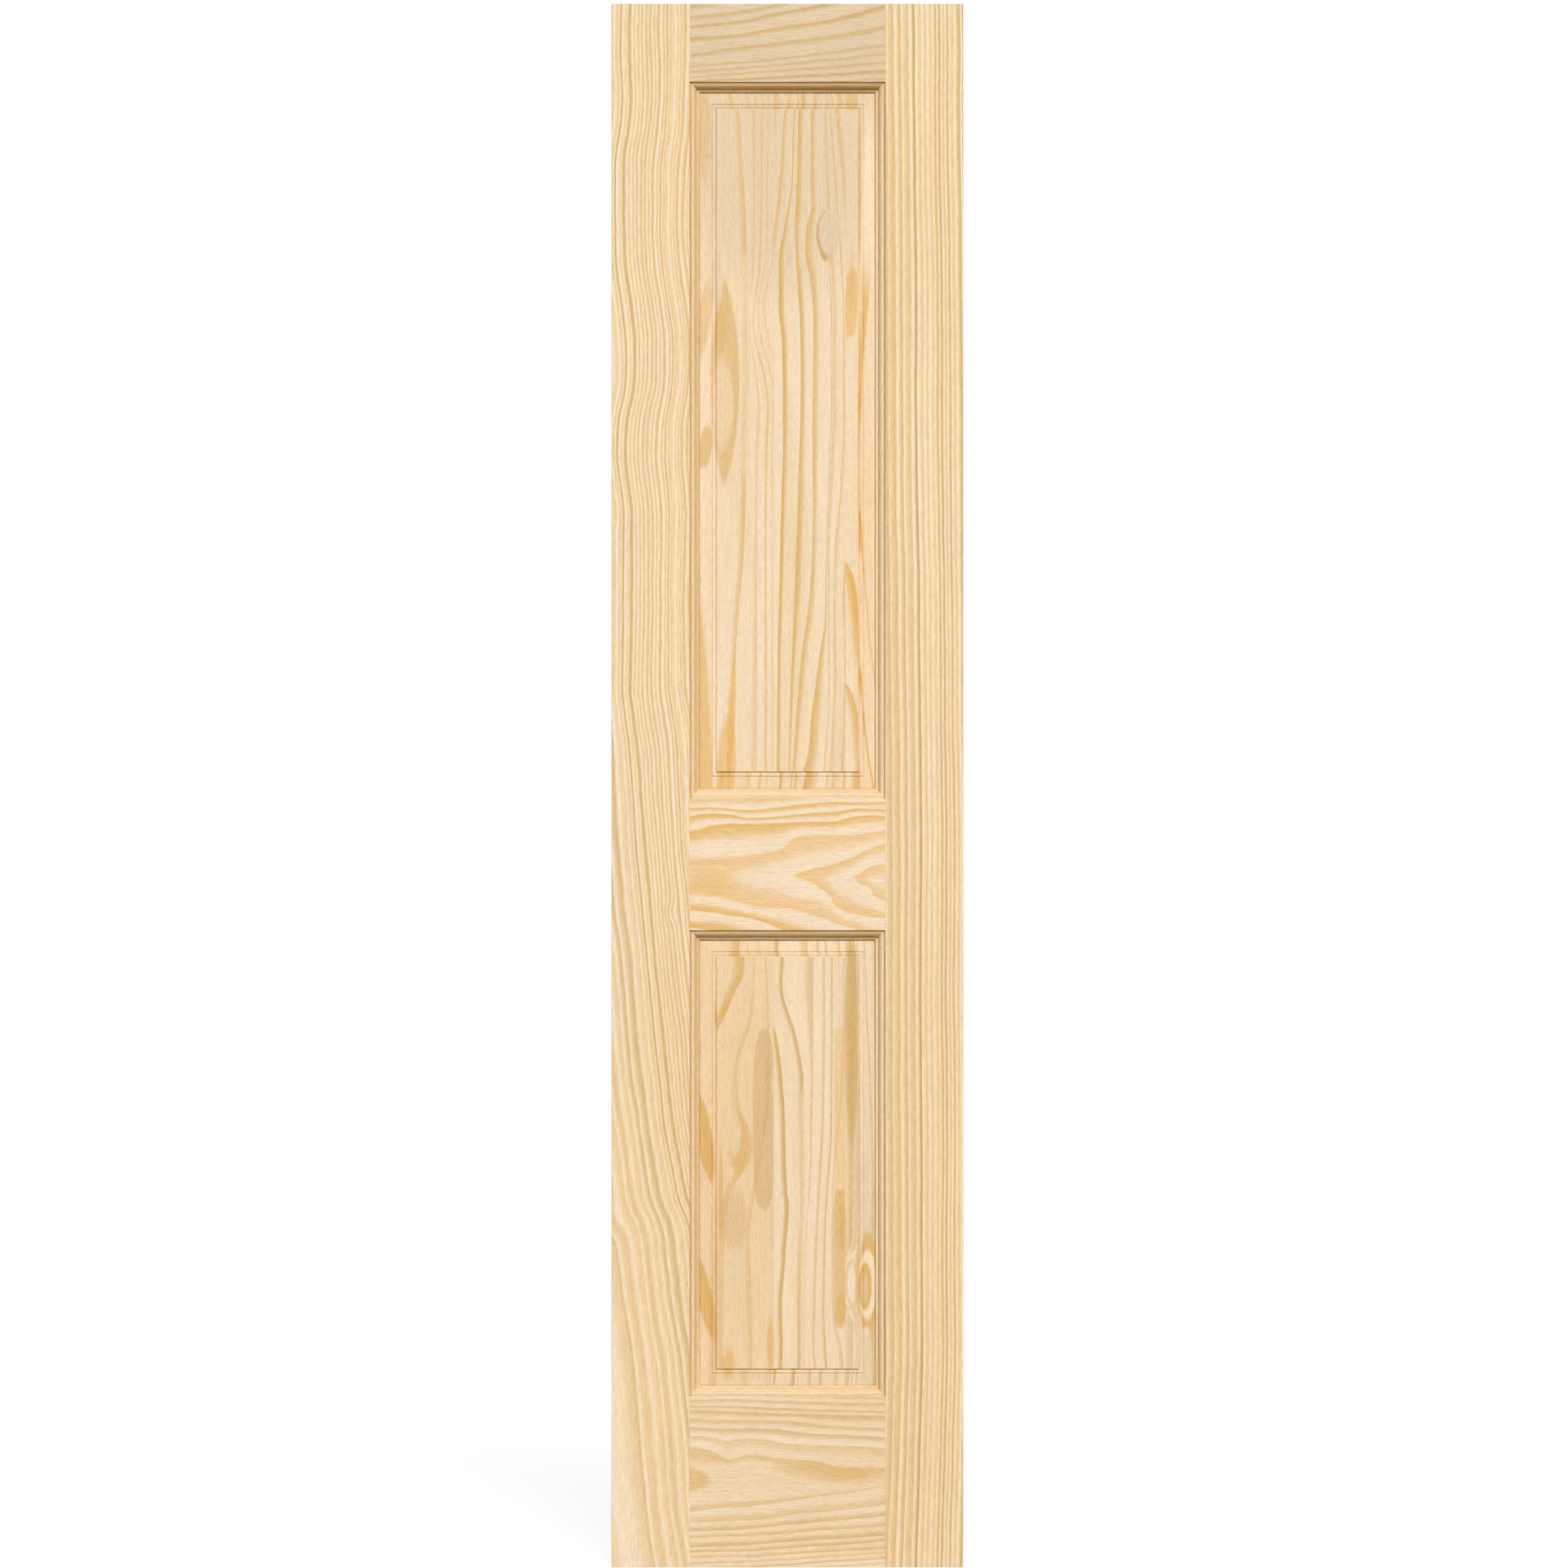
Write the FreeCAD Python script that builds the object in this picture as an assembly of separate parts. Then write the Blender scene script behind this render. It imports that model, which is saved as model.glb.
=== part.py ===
"""Two-panel interior door leaf in pine: veneered stiles and rails, coped and dowelled round two raised panels.

All sizes are in millimetres. X runs across the leaf, Y through its thickness with the front face at -Y,
and Z up from the middle of the bottom edge.
"""
import FreeCAD, Part

import math
import os

from FreeCAD import Vector

# The leaf
DOOR_WIDTH = 457.2
DOOR_HEIGHT = 2032.0
DOOR_THICKNESS = 34.9

# Framing members, each measured to the lip of its moulding
STILE_WIDTH = 114.3
TOP_RAIL_WIDTH = 114.3
LOCK_RAIL_WIDTH = 196.9
BOTTOM_RAIL_WIDTH = 235.0
LOCK_RAIL_HEIGHT = 913.5  # middle of the lock rail above the bottom edge

# Lay-up of a stile or rail: core, solid strips on its edges, veneer on both faces
VENEER = 1.6
ARRIS = 0.8  # bevel on the outer long arrises of the leaf
EDGE_STRIP_WIDTH = 12.7
MOULDED_STRIP_WIDTH = 30.0
STILE_STAVES = 2
TOP_RAIL_STAVES = 2
LOCK_RAIL_STAVES = 2
BOTTOM_RAIL_STAVES = 3

# Finger joints between the blocks of a stile's core
BLOCK_LENGTH = 680.0
FINGER_LENGTH = 11.0
FINGER_PITCH = 7.9
FINGER_TIP = 1.0

# Ovolo moulding along the inner edges, from the veneer to the lip, and the groove behind the lip
QUIRK_STEP = 0.8  # from the veneer's underside down to the ledge beside the ovolo
LEDGE_WIDTH = 1.7
OVOLO_RADIUS = 7.0
FILLET_WIDTH = 4.0
LIP_THICKNESS = 2.3
GROOVE_DEPTH = 12.0

# Raised panels, from the groove to the field
TONGUE_CLEARANCE = 0.2  # on each face of the tongue
EXPANSION_GAP = 2.5  # between the tongue's edge and the bottom of the groove
HIP_WIDTH = 15.8
HIP_RISE = 1.4  # how far the long slope climbs from the lip
SHELF_WIDTH = 6.5  # from the top of the slope to the edge of the field, both steps included
SHELF_STEP = 0.5
SHELF_RUN = 0.8  # how far the step up to the shelf leans
FIELD_STEP = 1.6
FIELD_RUN = 1.7  # how far the step up to the field leans
MIDDLE_STAVE_WIDTH = 93.4
MIDDLE_STAVE_OFFSET = 28.8  # its centre line to the right of the leaf's

# Fluted dowels in every joint between a rail and a stile
DOWEL_DIAMETER = 9.5
DOWEL_LENGTH = 101.6
DOWEL_CLEARANCE = 0.1  # all round
DOWEL_END_GAP = 2.0
FLUTES = 6
FLUTE_WIDTH = 1.4
FLUTE_DEPTH = 0.6

# Places that follow from the sizes above
HALF_THICKNESS = DOOR_THICKNESS / 2
CORE_HALF = HALF_THICKNESS - VENEER
LEDGE_Y = CORE_HALF - QUIRK_STEP
FILLET_Y = LEDGE_Y - OVOLO_RADIUS
GROOVE_Y = FILLET_Y - LIP_THICKNESS
TONGUE_Y = GROOVE_Y - TONGUE_CLEARANCE
FIELD_Y = TONGUE_Y + HIP_RISE + SHELF_STEP + FIELD_STEP
MOULDING_WIDTH = LEDGE_WIDTH + OVOLO_RADIUS + FILLET_WIDTH
OUTER_X = DOOR_WIDTH / 2
LIP_X = OUTER_X - STILE_WIDTH
SHOULDER_X = LIP_X + MOULDING_WIDTH
GROOVE_X = LIP_X + GROOVE_DEPTH
TONGUE_REACH = GROOVE_DEPTH - EXPANSION_GAP
ACROSS = Vector(1, 0, 0)
UP = Vector(0, 0, 1)
SIDES = {"left": -1, "right": 1}
FACES = {"front": -1, "back": 1}


class Rail:
    """One horizontal member: its name, its reach in Z, the edges that carry moulding and its core's staves."""

    def __init__(self, name, low, high, moulded, staves):
        self.name = name
        self.low = low
        self.high = high
        self.moulded = moulded
        self.staves = staves

    def between(self, inset):
        """The rail's reach in Z less an inset on each moulded edge."""
        below = inset if "lower" in self.moulded else 0
        above = inset if "upper" in self.moulded else 0
        return self.low + below, self.high - above

    def stave_edges(self):
        """Z of the joints between the core's staves, both outer edges included."""
        low, high = self.between(MOULDED_STRIP_WIDTH)
        return [low + (high - low) * n / self.staves for n in range(self.staves + 1)]

    def dowel_heights(self):
        """Z of the dowels, in the middle of the lowest and the highest stave."""
        edges = self.stave_edges()
        return [(edges[0] + edges[1]) / 2, (edges[-2] + edges[-1]) / 2]


TOP_RAIL = Rail("top_rail", DOOR_HEIGHT - TOP_RAIL_WIDTH, DOOR_HEIGHT, ["lower"], TOP_RAIL_STAVES)
LOCK_RAIL = Rail(
    "lock_rail", LOCK_RAIL_HEIGHT - LOCK_RAIL_WIDTH / 2, LOCK_RAIL_HEIGHT + LOCK_RAIL_WIDTH / 2,
    ["lower", "upper"], LOCK_RAIL_STAVES)
BOTTOM_RAIL = Rail("bottom_rail", 0, BOTTOM_RAIL_WIDTH, ["upper"], BOTTOM_RAIL_STAVES)
RAILS = [TOP_RAIL, LOCK_RAIL, BOTTOM_RAIL]


def block(low, high):
    """A box between two opposite corners, given as (x, y, z)."""
    size = [high[n] - low[n] for n in range(3)]
    return Part.makeBox(*size, Vector(*low))


def span(a, b):
    """Two values, the lower one first."""
    return min(a, b), max(a, b)


def polygon(points):
    """A flat face with the points as its corners."""
    return Part.Face(Part.makePolygon(points + points[:1]))


def moulded_strip(lip, outward, along):
    """A solid strip with the ovolo on both faces and the panel groove between the two lips.

    lip is where the lip's line starts, outward points from the lip into the wood, and along is the strip's length.
    """

    def at(u, y):
        return lip + outward * u + Vector(0, y, 0)

    def run(corners):
        return [Part.LineSegment(at(*a), at(*b)).toShape() for a, b in zip(corners, corners[1:])]

    ovolo_u = FILLET_WIDTH + OVOLO_RADIUS
    diagonal = OVOLO_RADIUS * math.sqrt(0.5)

    def moulding(face):
        """Edges from the back of the strip to the bottom of the groove, on one face."""
        ovolo_start = (ovolo_u, face * LEDGE_Y)
        ovolo_middle = (ovolo_u - diagonal, face * (FILLET_Y + diagonal))
        ovolo_end = (FILLET_WIDTH, face * FILLET_Y)
        shoulder = [
            (MOULDED_STRIP_WIDTH, face * CORE_HALF), (MOULDING_WIDTH, face * CORE_HALF),
            (MOULDING_WIDTH, face * LEDGE_Y), ovolo_start]
        lip_and_groove = [ovolo_end, (0, face * FILLET_Y), (0, face * GROOVE_Y), (GROOVE_DEPTH, face * GROOVE_Y)]
        ovolo = Part.Arc(at(*ovolo_start), at(*ovolo_middle), at(*ovolo_end)).toShape()
        return run(shoulder) + [ovolo] + run(lip_and_groove)

    edges = moulding(-1) + moulding(1)
    edges += run([(GROOVE_DEPTH, -GROOVE_Y), (GROOVE_DEPTH, GROOVE_Y)])
    edges += run([(MOULDED_STRIP_WIDTH, -CORE_HALF), (MOULDED_STRIP_WIDTH, CORE_HALF)])
    outline = Part.Wire(Part.__sortEdges__(edges))
    return Part.Face(outline).extrude(along)


def stile_moulded_strip(side):
    """The moulded strip of a stile, over the leaf's whole height, before it is bored."""
    return moulded_strip(Vector(side * LIP_X, 0, 0), ACROSS * side, UP * DOOR_HEIGHT)


def dowel_holes(side, rails):
    """Blind holes for the dowels between one stile and the given rails."""
    reach = DOWEL_LENGTH / 2 + DOWEL_END_GAP
    radius = DOWEL_DIAMETER / 2 + DOWEL_CLEARANCE
    return [
        Part.makeCylinder(radius, 2 * reach, Vector(side * GROOVE_X - reach, 0, z), ACROSS)
        for rail in rails
        for z in rail.dowel_heights()
    ]


def fluted_dowel(x, z):
    """A dowel along X with V flutes pressed along it, its middle at x and z."""
    radius = DOWEL_DIAMETER / 2
    start = Vector(x - DOWEL_LENGTH / 2, 0, z)
    pin = Part.makeCylinder(radius, DOWEL_LENGTH, start, ACROSS)
    flutes = []
    for n in range(FLUTES):
        flute = polygon([
            start + Vector(0, radius - FLUTE_DEPTH, 0),
            start + Vector(0, radius + FLUTE_DEPTH, -FLUTE_WIDTH),
            start + Vector(0, radius + FLUTE_DEPTH, FLUTE_WIDTH)]).extrude(ACROSS * DOWEL_LENGTH)
        flute.rotate(start, ACROSS, 360 * n / FLUTES)
        flutes.append(flute)
    return pin.cut(flutes)


def finger_line(height):
    """The zigzag of a finger joint across the core's thickness, as (y, z) points from front to back."""
    fingers = max(1, round(2 * CORE_HALF / FINGER_PITCH))
    pitch = 2 * CORE_HALF / fingers
    root = height - FINGER_LENGTH / 2
    crest = height + FINGER_LENGTH / 2
    points = [(-CORE_HALF, root)]
    for n in range(fingers):
        start = -CORE_HALF + n * pitch
        middle = start + pitch / 2
        points += [
            (start + FINGER_TIP / 2, root), (middle - FINGER_TIP / 2, crest),
            (middle + FINGER_TIP / 2, crest), (start + pitch - FINGER_TIP / 2, root)]
    return points + [(CORE_HALF, root)]


def stile_core(side):
    """Staves edge-glued side by side, each a row of finger-jointed blocks, bored for the dowels."""
    inner = LIP_X + MOULDED_STRIP_WIDTH
    width = (STILE_WIDTH - MOULDED_STRIP_WIDTH - EDGE_STRIP_WIDTH) / STILE_STAVES
    rows = max(1, round(DOOR_HEIGHT / BLOCK_LENGTH))
    spacing = DOOR_HEIGHT / rows
    holes = dowel_holes(side, RAILS)
    blocks = []
    for stave in range(STILE_STAVES):
        x = side * (inner + stave * width)
        stagger = spacing / 2 if stave % 2 else spacing
        joints = [height for height in (stagger + spacing * n for n in range(rows)) if height < DOOR_HEIGHT]
        lines = [[(-CORE_HALF, 0), (CORE_HALF, 0)]]
        lines += [finger_line(height) for height in joints]
        lines += [[(-CORE_HALF, DOOR_HEIGHT), (CORE_HALF, DOOR_HEIGHT)]]
        for lower, upper in zip(lines, lines[1:]):
            outline = [Vector(x, y, z) for y, z in lower + upper[::-1]]
            blocks.append(polygon(outline).extrude(ACROSS * side * width).cut(holes))
    return blocks


def stile_edge_strip(side):
    """The solid strip along a stile's outer edge, which takes hinges or a latch."""
    x = span(side * (OUTER_X - EDGE_STRIP_WIDTH), side * OUTER_X)
    return block((x[0], -CORE_HALF, 0), (x[1], CORE_HALF, DOOR_HEIGHT))


def stile_veneer(side, face):
    """A face veneer of a stile, from the outer edge to the moulding, with its outer arris eased."""
    bevel = min(ARRIS, VENEER / 2)
    outline = [
        (SHOULDER_X, CORE_HALF), (OUTER_X, CORE_HALF), (OUTER_X, HALF_THICKNESS - bevel),
        (OUTER_X - bevel, HALF_THICKNESS), (SHOULDER_X, HALF_THICKNESS)]
    return polygon([Vector(side * x, face * y, 0) for x, y in outline]).extrude(UP * DOOR_HEIGHT)


def coped(shape):
    """A rail's piece with both ends cut to fit over the stiles' moulding and into their grooves."""
    return shape.cut([stile_moulded_strip(side) for side in SIDES.values()])


def rail_core(rail):
    """Staves edge-glued one above the other, coped at both ends and bored for the dowels."""
    holes = [hole for side in SIDES.values() for hole in dowel_holes(side, [rail])]
    edges = rail.stave_edges()
    staves = []
    for low, high in zip(edges, edges[1:]):
        blank = block((-SHOULDER_X, -CORE_HALF, low), (SHOULDER_X, CORE_HALF, high))
        staves.append(coped(blank).cut(holes))
    return staves


def rail_moulded_strip(rail, edge):
    """The moulded strip on a rail's lower or upper edge, coped at both ends."""
    lip_z = rail.low if edge == "lower" else rail.high
    into_rail = UP if edge == "lower" else -UP
    strip = moulded_strip(Vector(-SHOULDER_X, 0, lip_z), into_rail, ACROSS * 2 * SHOULDER_X)
    return coped(strip)


def rail_veneer(rail, face):
    """A face veneer of a rail, butted between the two stiles' veneers."""
    y = span(face * CORE_HALF, face * HALF_THICKNESS)
    low, high = rail.between(MOULDING_WIDTH)
    return block((-SHOULDER_X, y[0], low), (SHOULDER_X, y[1], high))


def raised_section(low_lip, high_lip, place):
    """The section of a panel raised on both faces, from one lip to the other; place makes a point of (s, y)."""
    slope_top = TONGUE_Y + HIP_RISE
    shelf = slope_top + SHELF_STEP
    rise = [
        (-TONGUE_REACH, TONGUE_Y), (0, TONGUE_Y), (HIP_WIDTH, slope_top), (HIP_WIDTH + SHELF_RUN, shelf),
        (HIP_WIDTH + SHELF_WIDTH - FIELD_RUN, shelf), (HIP_WIDTH + SHELF_WIDTH, FIELD_Y)]
    back = [(low_lip + s, y) for s, y in rise] + [(high_lip - s, y) for s, y in rise[::-1]]
    front = [(s, -y) for s, y in back[::-1]]
    return polygon([place(s, y) for s, y in back + front])


def panel_staves(low_lip, high_lip):
    """A panel raised on both faces between two rails' lips, cut into its three glued staves."""
    low = low_lip - GROOVE_DEPTH
    high = high_lip + GROOVE_DEPTH
    across = raised_section(-LIP_X, LIP_X, lambda s, y: Vector(s, y, low))
    upright = raised_section(low_lip, high_lip, lambda s, y: Vector(-GROOVE_X, y, s))
    panel = across.extrude(UP * (high - low)).common(upright.extrude(ACROSS * 2 * GROOVE_X))
    left_joint = MIDDLE_STAVE_OFFSET - MIDDLE_STAVE_WIDTH / 2
    right_joint = MIDDLE_STAVE_OFFSET + MIDDLE_STAVE_WIDTH / 2
    reaches = {"left": (-GROOVE_X, left_joint), "middle": (left_joint, right_joint), "right": (right_joint, GROOVE_X)}
    return {
        name: panel.common(block((start, -FIELD_Y, low), (end, FIELD_Y, high)))
        for name, (start, end) in reaches.items()
    }


def build():
    """Every node of the leaf, as a name and its shapes."""
    nodes = {}
    for name, side in SIDES.items():
        nodes[f"{name}_stile_core"] = stile_core(side)
        nodes[f"{name}_stile_edge_strip"] = [stile_edge_strip(side)]
        nodes[f"{name}_stile_moulded_strip"] = [stile_moulded_strip(side).cut(dowel_holes(side, RAILS))]
        for face_name, face in FACES.items():
            nodes[f"{name}_stile_{face_name}_veneer"] = [stile_veneer(side, face)]
    for rail in RAILS:
        nodes[f"{rail.name}_core"] = rail_core(rail)
        for edge in rail.moulded:
            nodes[f"{rail.name}_{edge}_moulded_strip"] = [rail_moulded_strip(rail, edge)]
        for face_name, face in FACES.items():
            nodes[f"{rail.name}_{face_name}_veneer"] = [rail_veneer(rail, face)]
        nodes[f"{rail.name}_dowels"] = [
            fluted_dowel(side * GROOVE_X, z) for side in SIDES.values() for z in rail.dowel_heights()]
    for panel, below, above in (("upper", LOCK_RAIL, TOP_RAIL), ("lower", BOTTOM_RAIL, LOCK_RAIL)):
        for stave, shape in panel_staves(below.high, above.low).items():
            nodes[f"{panel}_panel_{stave}_stave"] = [shape]
    return nodes


os.makedirs("parts", exist_ok=True)
for node, shapes in build().items():
    solids = [solid for shape in shapes for solid in shape.Solids]
    Part.makeCompound(solids).exportStep(f"parts/{node}.step")
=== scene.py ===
import math
from typing import NamedTuple

import bmesh
import bpy
from bpy.props import FloatProperty, FloatVectorProperty, IntProperty, PointerProperty
from bpy.types import Operator, Panel, PropertyGroup
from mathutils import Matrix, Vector


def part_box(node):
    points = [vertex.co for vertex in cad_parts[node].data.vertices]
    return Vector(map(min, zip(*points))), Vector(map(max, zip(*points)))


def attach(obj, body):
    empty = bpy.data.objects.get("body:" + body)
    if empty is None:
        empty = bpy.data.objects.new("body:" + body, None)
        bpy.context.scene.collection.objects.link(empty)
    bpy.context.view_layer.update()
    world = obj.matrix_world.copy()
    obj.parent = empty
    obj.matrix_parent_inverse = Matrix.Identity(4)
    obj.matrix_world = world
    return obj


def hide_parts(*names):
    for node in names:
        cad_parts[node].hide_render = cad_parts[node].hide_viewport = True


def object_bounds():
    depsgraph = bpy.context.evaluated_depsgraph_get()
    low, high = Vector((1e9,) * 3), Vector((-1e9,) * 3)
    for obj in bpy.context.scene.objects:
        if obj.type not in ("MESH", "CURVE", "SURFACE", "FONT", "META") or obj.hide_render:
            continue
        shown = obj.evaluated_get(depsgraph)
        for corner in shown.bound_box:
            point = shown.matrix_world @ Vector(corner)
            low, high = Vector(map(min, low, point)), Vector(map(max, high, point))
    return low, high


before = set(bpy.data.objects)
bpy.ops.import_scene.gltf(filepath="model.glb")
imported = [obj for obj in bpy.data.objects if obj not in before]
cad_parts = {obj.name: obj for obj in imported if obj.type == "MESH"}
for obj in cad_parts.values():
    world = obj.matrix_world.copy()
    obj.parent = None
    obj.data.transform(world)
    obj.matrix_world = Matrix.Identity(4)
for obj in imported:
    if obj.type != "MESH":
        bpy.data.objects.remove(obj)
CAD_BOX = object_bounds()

bl_info = {
    "name": "Two-Panel Pine Door",
    "version": (1, 0, 0),
    "blender": (4, 5, 0),
    "location": "View3D > Sidebar > Pine Door",
    "description": "Builds the veneers, moulded strips and raised panels of a pine door leaf",
    "category": "Object",
}

MM = 0.001
BODY = "root"
LEAF_LOW, LEAF_HIGH = CAD_BOX
FACES = (("front", -1.0), ("back", 1.0))
SIDES = (("left", -1.0), ("right", 1.0))
RAILS = ("top_rail", "lock_rail", "bottom_rail")
PANELS = ("upper_panel", "lower_panel")
STAVES = ("left", "middle", "right")
LYING_STRIPS = (("top_rail_lower", -1), ("lock_rail_upper", 1), ("lock_rail_lower", -1),
                ("bottom_rail_upper", 1))


def linear(hex_colour):
    """An sRGB hex colour as linear red, green and blue."""
    shares = [int(hex_colour[place:place + 2], 16) / 255 for place in (1, 3, 5)]
    return tuple(s / 12.92 if s <= 0.04045 else ((s + 0.055) / 1.055) ** 2.4 for s in shares)


# Settings that a user would change

def length(name, description, millimetres):
    """A length setting with its default in millimetres."""
    return FloatProperty(name=name, description=description, default=millimetres * MM, min=0.0,
                         unit="LENGTH")


def angle(name, description, degrees):
    """An angle setting with its default in degrees."""
    return FloatProperty(name=name, description=description, default=math.radians(degrees), subtype="ANGLE")


def brightness(name, description, default):
    """A setting for how strong a light is, from 0 for none."""
    return FloatProperty(name=name, description=description, default=default, min=0.0)


def colour(name, description, hex_colour):
    """A colour setting with its default as an sRGB hex value."""
    return FloatVectorProperty(name=name, description=description, subtype="COLOR", size=3, min=0.0,
                               max=1.0, default=linear(hex_colour))


class DoorMouldingSizes(PropertyGroup):
    """The ovolo moulding that runs round each panel opening."""
    width: length("Width", "From the lip to the edge of the face veneer", 12.7)
    ledge_depth: length("Ledge Depth", "From the core's face down to the ledge", 0.8)
    ledge_width: length("Ledge Width", "Between the quirk and the ovolo", 1.7)
    ledge_fall: length("Ledge Fall", "How far the ledge dips from the ovolo to the foot of the quirk", 0.45)
    ovolo_radius: length("Ovolo Radius", "Radius of the quarter round", 7.0)
    lip_thickness: length("Lip Thickness", "From the fillet down to the panel groove", 2.3)
    groove_depth: length("Groove Depth", "How far the panel groove goes in from the lip", 12.0)
    flat_fall: length("Fall of the Flats", "How much the fillet falls towards the panel", 0.06)
    lip_round: length("Lip Round", "Radius that sanding leaves on the lip", 1.0)
    ovolo_steps: IntProperty(name="Ovolo Steps", description="Facets along the quarter round", default=14,
                             min=4)


class DoorPanelSizes(PropertyGroup):
    """The raised and fielded panels."""
    tongue_reach: length("Tongue Reach", "How far the tongue goes into the groove past the lip", 9.5)
    tongue_half: length("Half Tongue", "Half the thickness of the tongue", 5.55)
    hip_width: length("Hip Width", "Width of the sloping hip", 15.8)
    hip_rise: length("Hip Rise", "Rise of the hip from the lip to the shelf", 1.4)
    shelf_step: length("Shelf Step", "Step from the hip up to the shelf", 0.5)
    shelf_run: length("Shelf Run", "How far the step up to the shelf leans", 0.8)
    shelf_width: length("Shelf Width", "From the hip to the edge of the field", 6.5)
    field_step: length("Field Step", "Step from the shelf up to the field", 1.6)
    field_run: length("Field Run", "How far the step up to the field leans", 1.7)
    edge_round: length("Edge Round", "Radius that sanding leaves on the steps", 0.2)
    quirk_width: length("Quirk Width", "Width of the groove at the foot of each step", 1.1)
    quirk_depth: length("Quirk Depth", "Depth of the groove at the foot of each step", 1.1)
    gap_depth: length("Gap Depth", "Depth of the gap between the hip and the lip", 0.5)


class DoorEdgeSizes(PropertyGroup):
    """How far the edges of the face veneers are eased."""
    arris: length("Outer Arris", "Radius along the outer edge of each stile", 0.8)
    joint: length("Joint", "Radius where veneers butt together and at the moulding", 0.22)


class DoorColours(PropertyGroup):
    """The colours of clear pine, sanded and unfinished."""
    cream: colour("Cream", "Palest early wood", "#FAE1C0")
    ivory: colour("Ivory", "Early wood that is left between broad late wood", "#FDE8C6")
    rose: colour("Rose", "Early wood with a pink cast", "#F4D5AC")
    shell: colour("Shell", "Early wood with a grey cast", "#EAD1AE")
    straw: colour("Straw", "Early wood with a grey-yellow cast", "#E5CCA8")
    amber: colour("Amber", "Late wood", "#DEB05E")
    gold: colour("Gold", "Late wood, broad and even", "#EEB968")
    honey: colour("Honey", "Late wood with more resin", "#E8B660")
    tan: colour("Tan", "Grey-brown late wood", "#D0A55F")
    # Painted shade: the two moulding tones draw the moulded strips darker than the stiles' pine
    moulded_pale: colour("Moulding, Pale", "Early wood of the moulded strips", "#EBCC9A")
    moulded_dark: colour("Moulding, Dark", "Late wood of the moulded strips, and greyer patches", "#D2A769")
    # Resin also paints shade into the quirks and the lip of the stiles' moulding
    resin: colour("Resin", "Resin ducts, hollows of the moulding and rays of the beech", "#A37B4C")
    end_grain: colour("End Grain", "Tint of the cut ends, which take up more light", "#DCC7A6")
    beech: colour("Beech", "Dowels", "#D9AE83")


class DoorStageSizes(PropertyGroup):
    """The camera, the lamps and the floor."""
    distance: length("Camera Distance", "From the camera to the face of the leaf", 9000)
    key_strength: brightness("Key Strength", "Strength of the key lamp, in W/m2", 2.84)
    key_height: angle("Key Height", "Angle of the key lamp above the floor", 36)
    key_side: angle("Key Side", "Angle of the key lamp to the right of the camera", 13)
    key_spread: angle("Key Spread", "How wide the key lamp looks from the leaf", 26)
    back_strength: brightness("Back Strength", "Strength of the lamp behind the leaf, in W/m2", 2.0)
    sky: brightness("Sky", "Strength of the white surround as light", 0.28)
    floor_size: length("Floor Size", "Side of the floor", 6000)
    floor_seen: colour("Floor", "Matt floor as it takes the shadow", "#9C9C9B")
    floor_glow: brightness("Floor Glow", "How much the floor shines for the camera, up to 1 for white", 0.7)
    floor_bounce: colour("Floor Bounce", "How much light the floor throws back at the leaf", "#7A7874")


class DoorSettings(PropertyGroup):
    """All settings of the door."""
    moulding: PointerProperty(type=DoorMouldingSizes)
    panel: PointerProperty(type=DoorPanelSizes)
    edges: PointerProperty(type=DoorEdgeSizes)
    colours: PointerProperty(type=DoorColours)
    stage: PointerProperty(type=DoorStageSizes)


# How the boards grew: what the grain of each one shows

class Line(NamedTuple):
    """The sharp edge where one year's late wood ends: places along the board and across it, in mm.

    Years counts the rings since the line before. Late is the share of a single ring that is late wood."""
    points: tuple
    late: float = 0.65
    strength: float = 1.0
    years: int = 1


OVAL = (2.0, 2.0)
LENS = (1.2, 2.0)
BAND = (5.0, 8.0)


class Bow(NamedTuple):
    """Rings that swing round an old branch: place and half size on the face, and the push, all in mm."""
    x: float
    z: float
    half_width: float
    half_height: float
    push: float
    lean: float = 0.0


class Patch(NamedTuple):
    """Colour that spreads where the saw ran along one ring: place and half size in mm, lean in degrees.

    Soft is the share of it that fades, at its left and at its right. Form is the power that each half size
    is raised to: OVAL, a LENS with pointed ends, or a BAND with square ones. Ragged is how far fibres carry
    its edge."""
    x: float
    z: float
    half_width: float
    half_height: float
    tone: str
    strength: float = 0.8
    soft: tuple = (0.5, 0.5)
    lean: float = 0.0
    form: tuple = OVAL
    ragged: float = 0.5


class Board(NamedTuple):
    """One board: which way its grain runs, where its ring lines lie and how they sway, in mm.

    The lines below are those under an arch. The tones are two of early wood and two of late wood. Depth
    shift is how far the rings move across for each mm into the board, and step shift is how far they jump
    from the field of a panel to its hip. The casts tint the early wood under the rings, and the patches lie
    over them."""
    along: str
    face: float
    lines: tuple
    below: tuple = ()
    tones: tuple = ("cream", "rose", "amber", "tan")
    contrast: float = 0.9
    ramp: tuple = ((0.05, 0.0), (0.35, 0.05), (0.78, 0.82), (0.94, 1.0), (1.0, 0.45))
    uneven: float = 0.0
    wander: float = 8.0
    wander_length: float = 320.0
    wander_width: float = 90.0
    depth_shift: float = 0.8
    step_shift: float = 0.0
    bows: tuple = ()
    casts: tuple = ()
    patches: tuple = ()
    seed: float = 0.0


def swayed(sway, *places):
    """Lines that all follow one sway, each as its place across and the other fields of a Line."""
    lines = []
    for across, *fields in places:
        lines.append(Line(tuple((along, across + aside) for along, aside in sway), *fields))
    return tuple(lines)


def straight(low, high, first, last, spacing):
    """Straight rings from first to last across a board that runs from low to high."""
    ends = [((low, across), (high, across)) for across in (first, last)]
    return Line(ends[0]), Line(ends[1], years=round((last - first) / spacing))


def painted_moulding_shading(x, half_width, tone, strength, fade=0.5):
    """Painted shade or a painted highlight that runs along the stiles' moulding past both panels, with its
    place and half width in mm.
    """
    return Patch(x, MOULDING_MIDDLE, half_width, MOULDING_REACH, tone, strength, (fade, fade), 0, BAND, 0.0)


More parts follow.
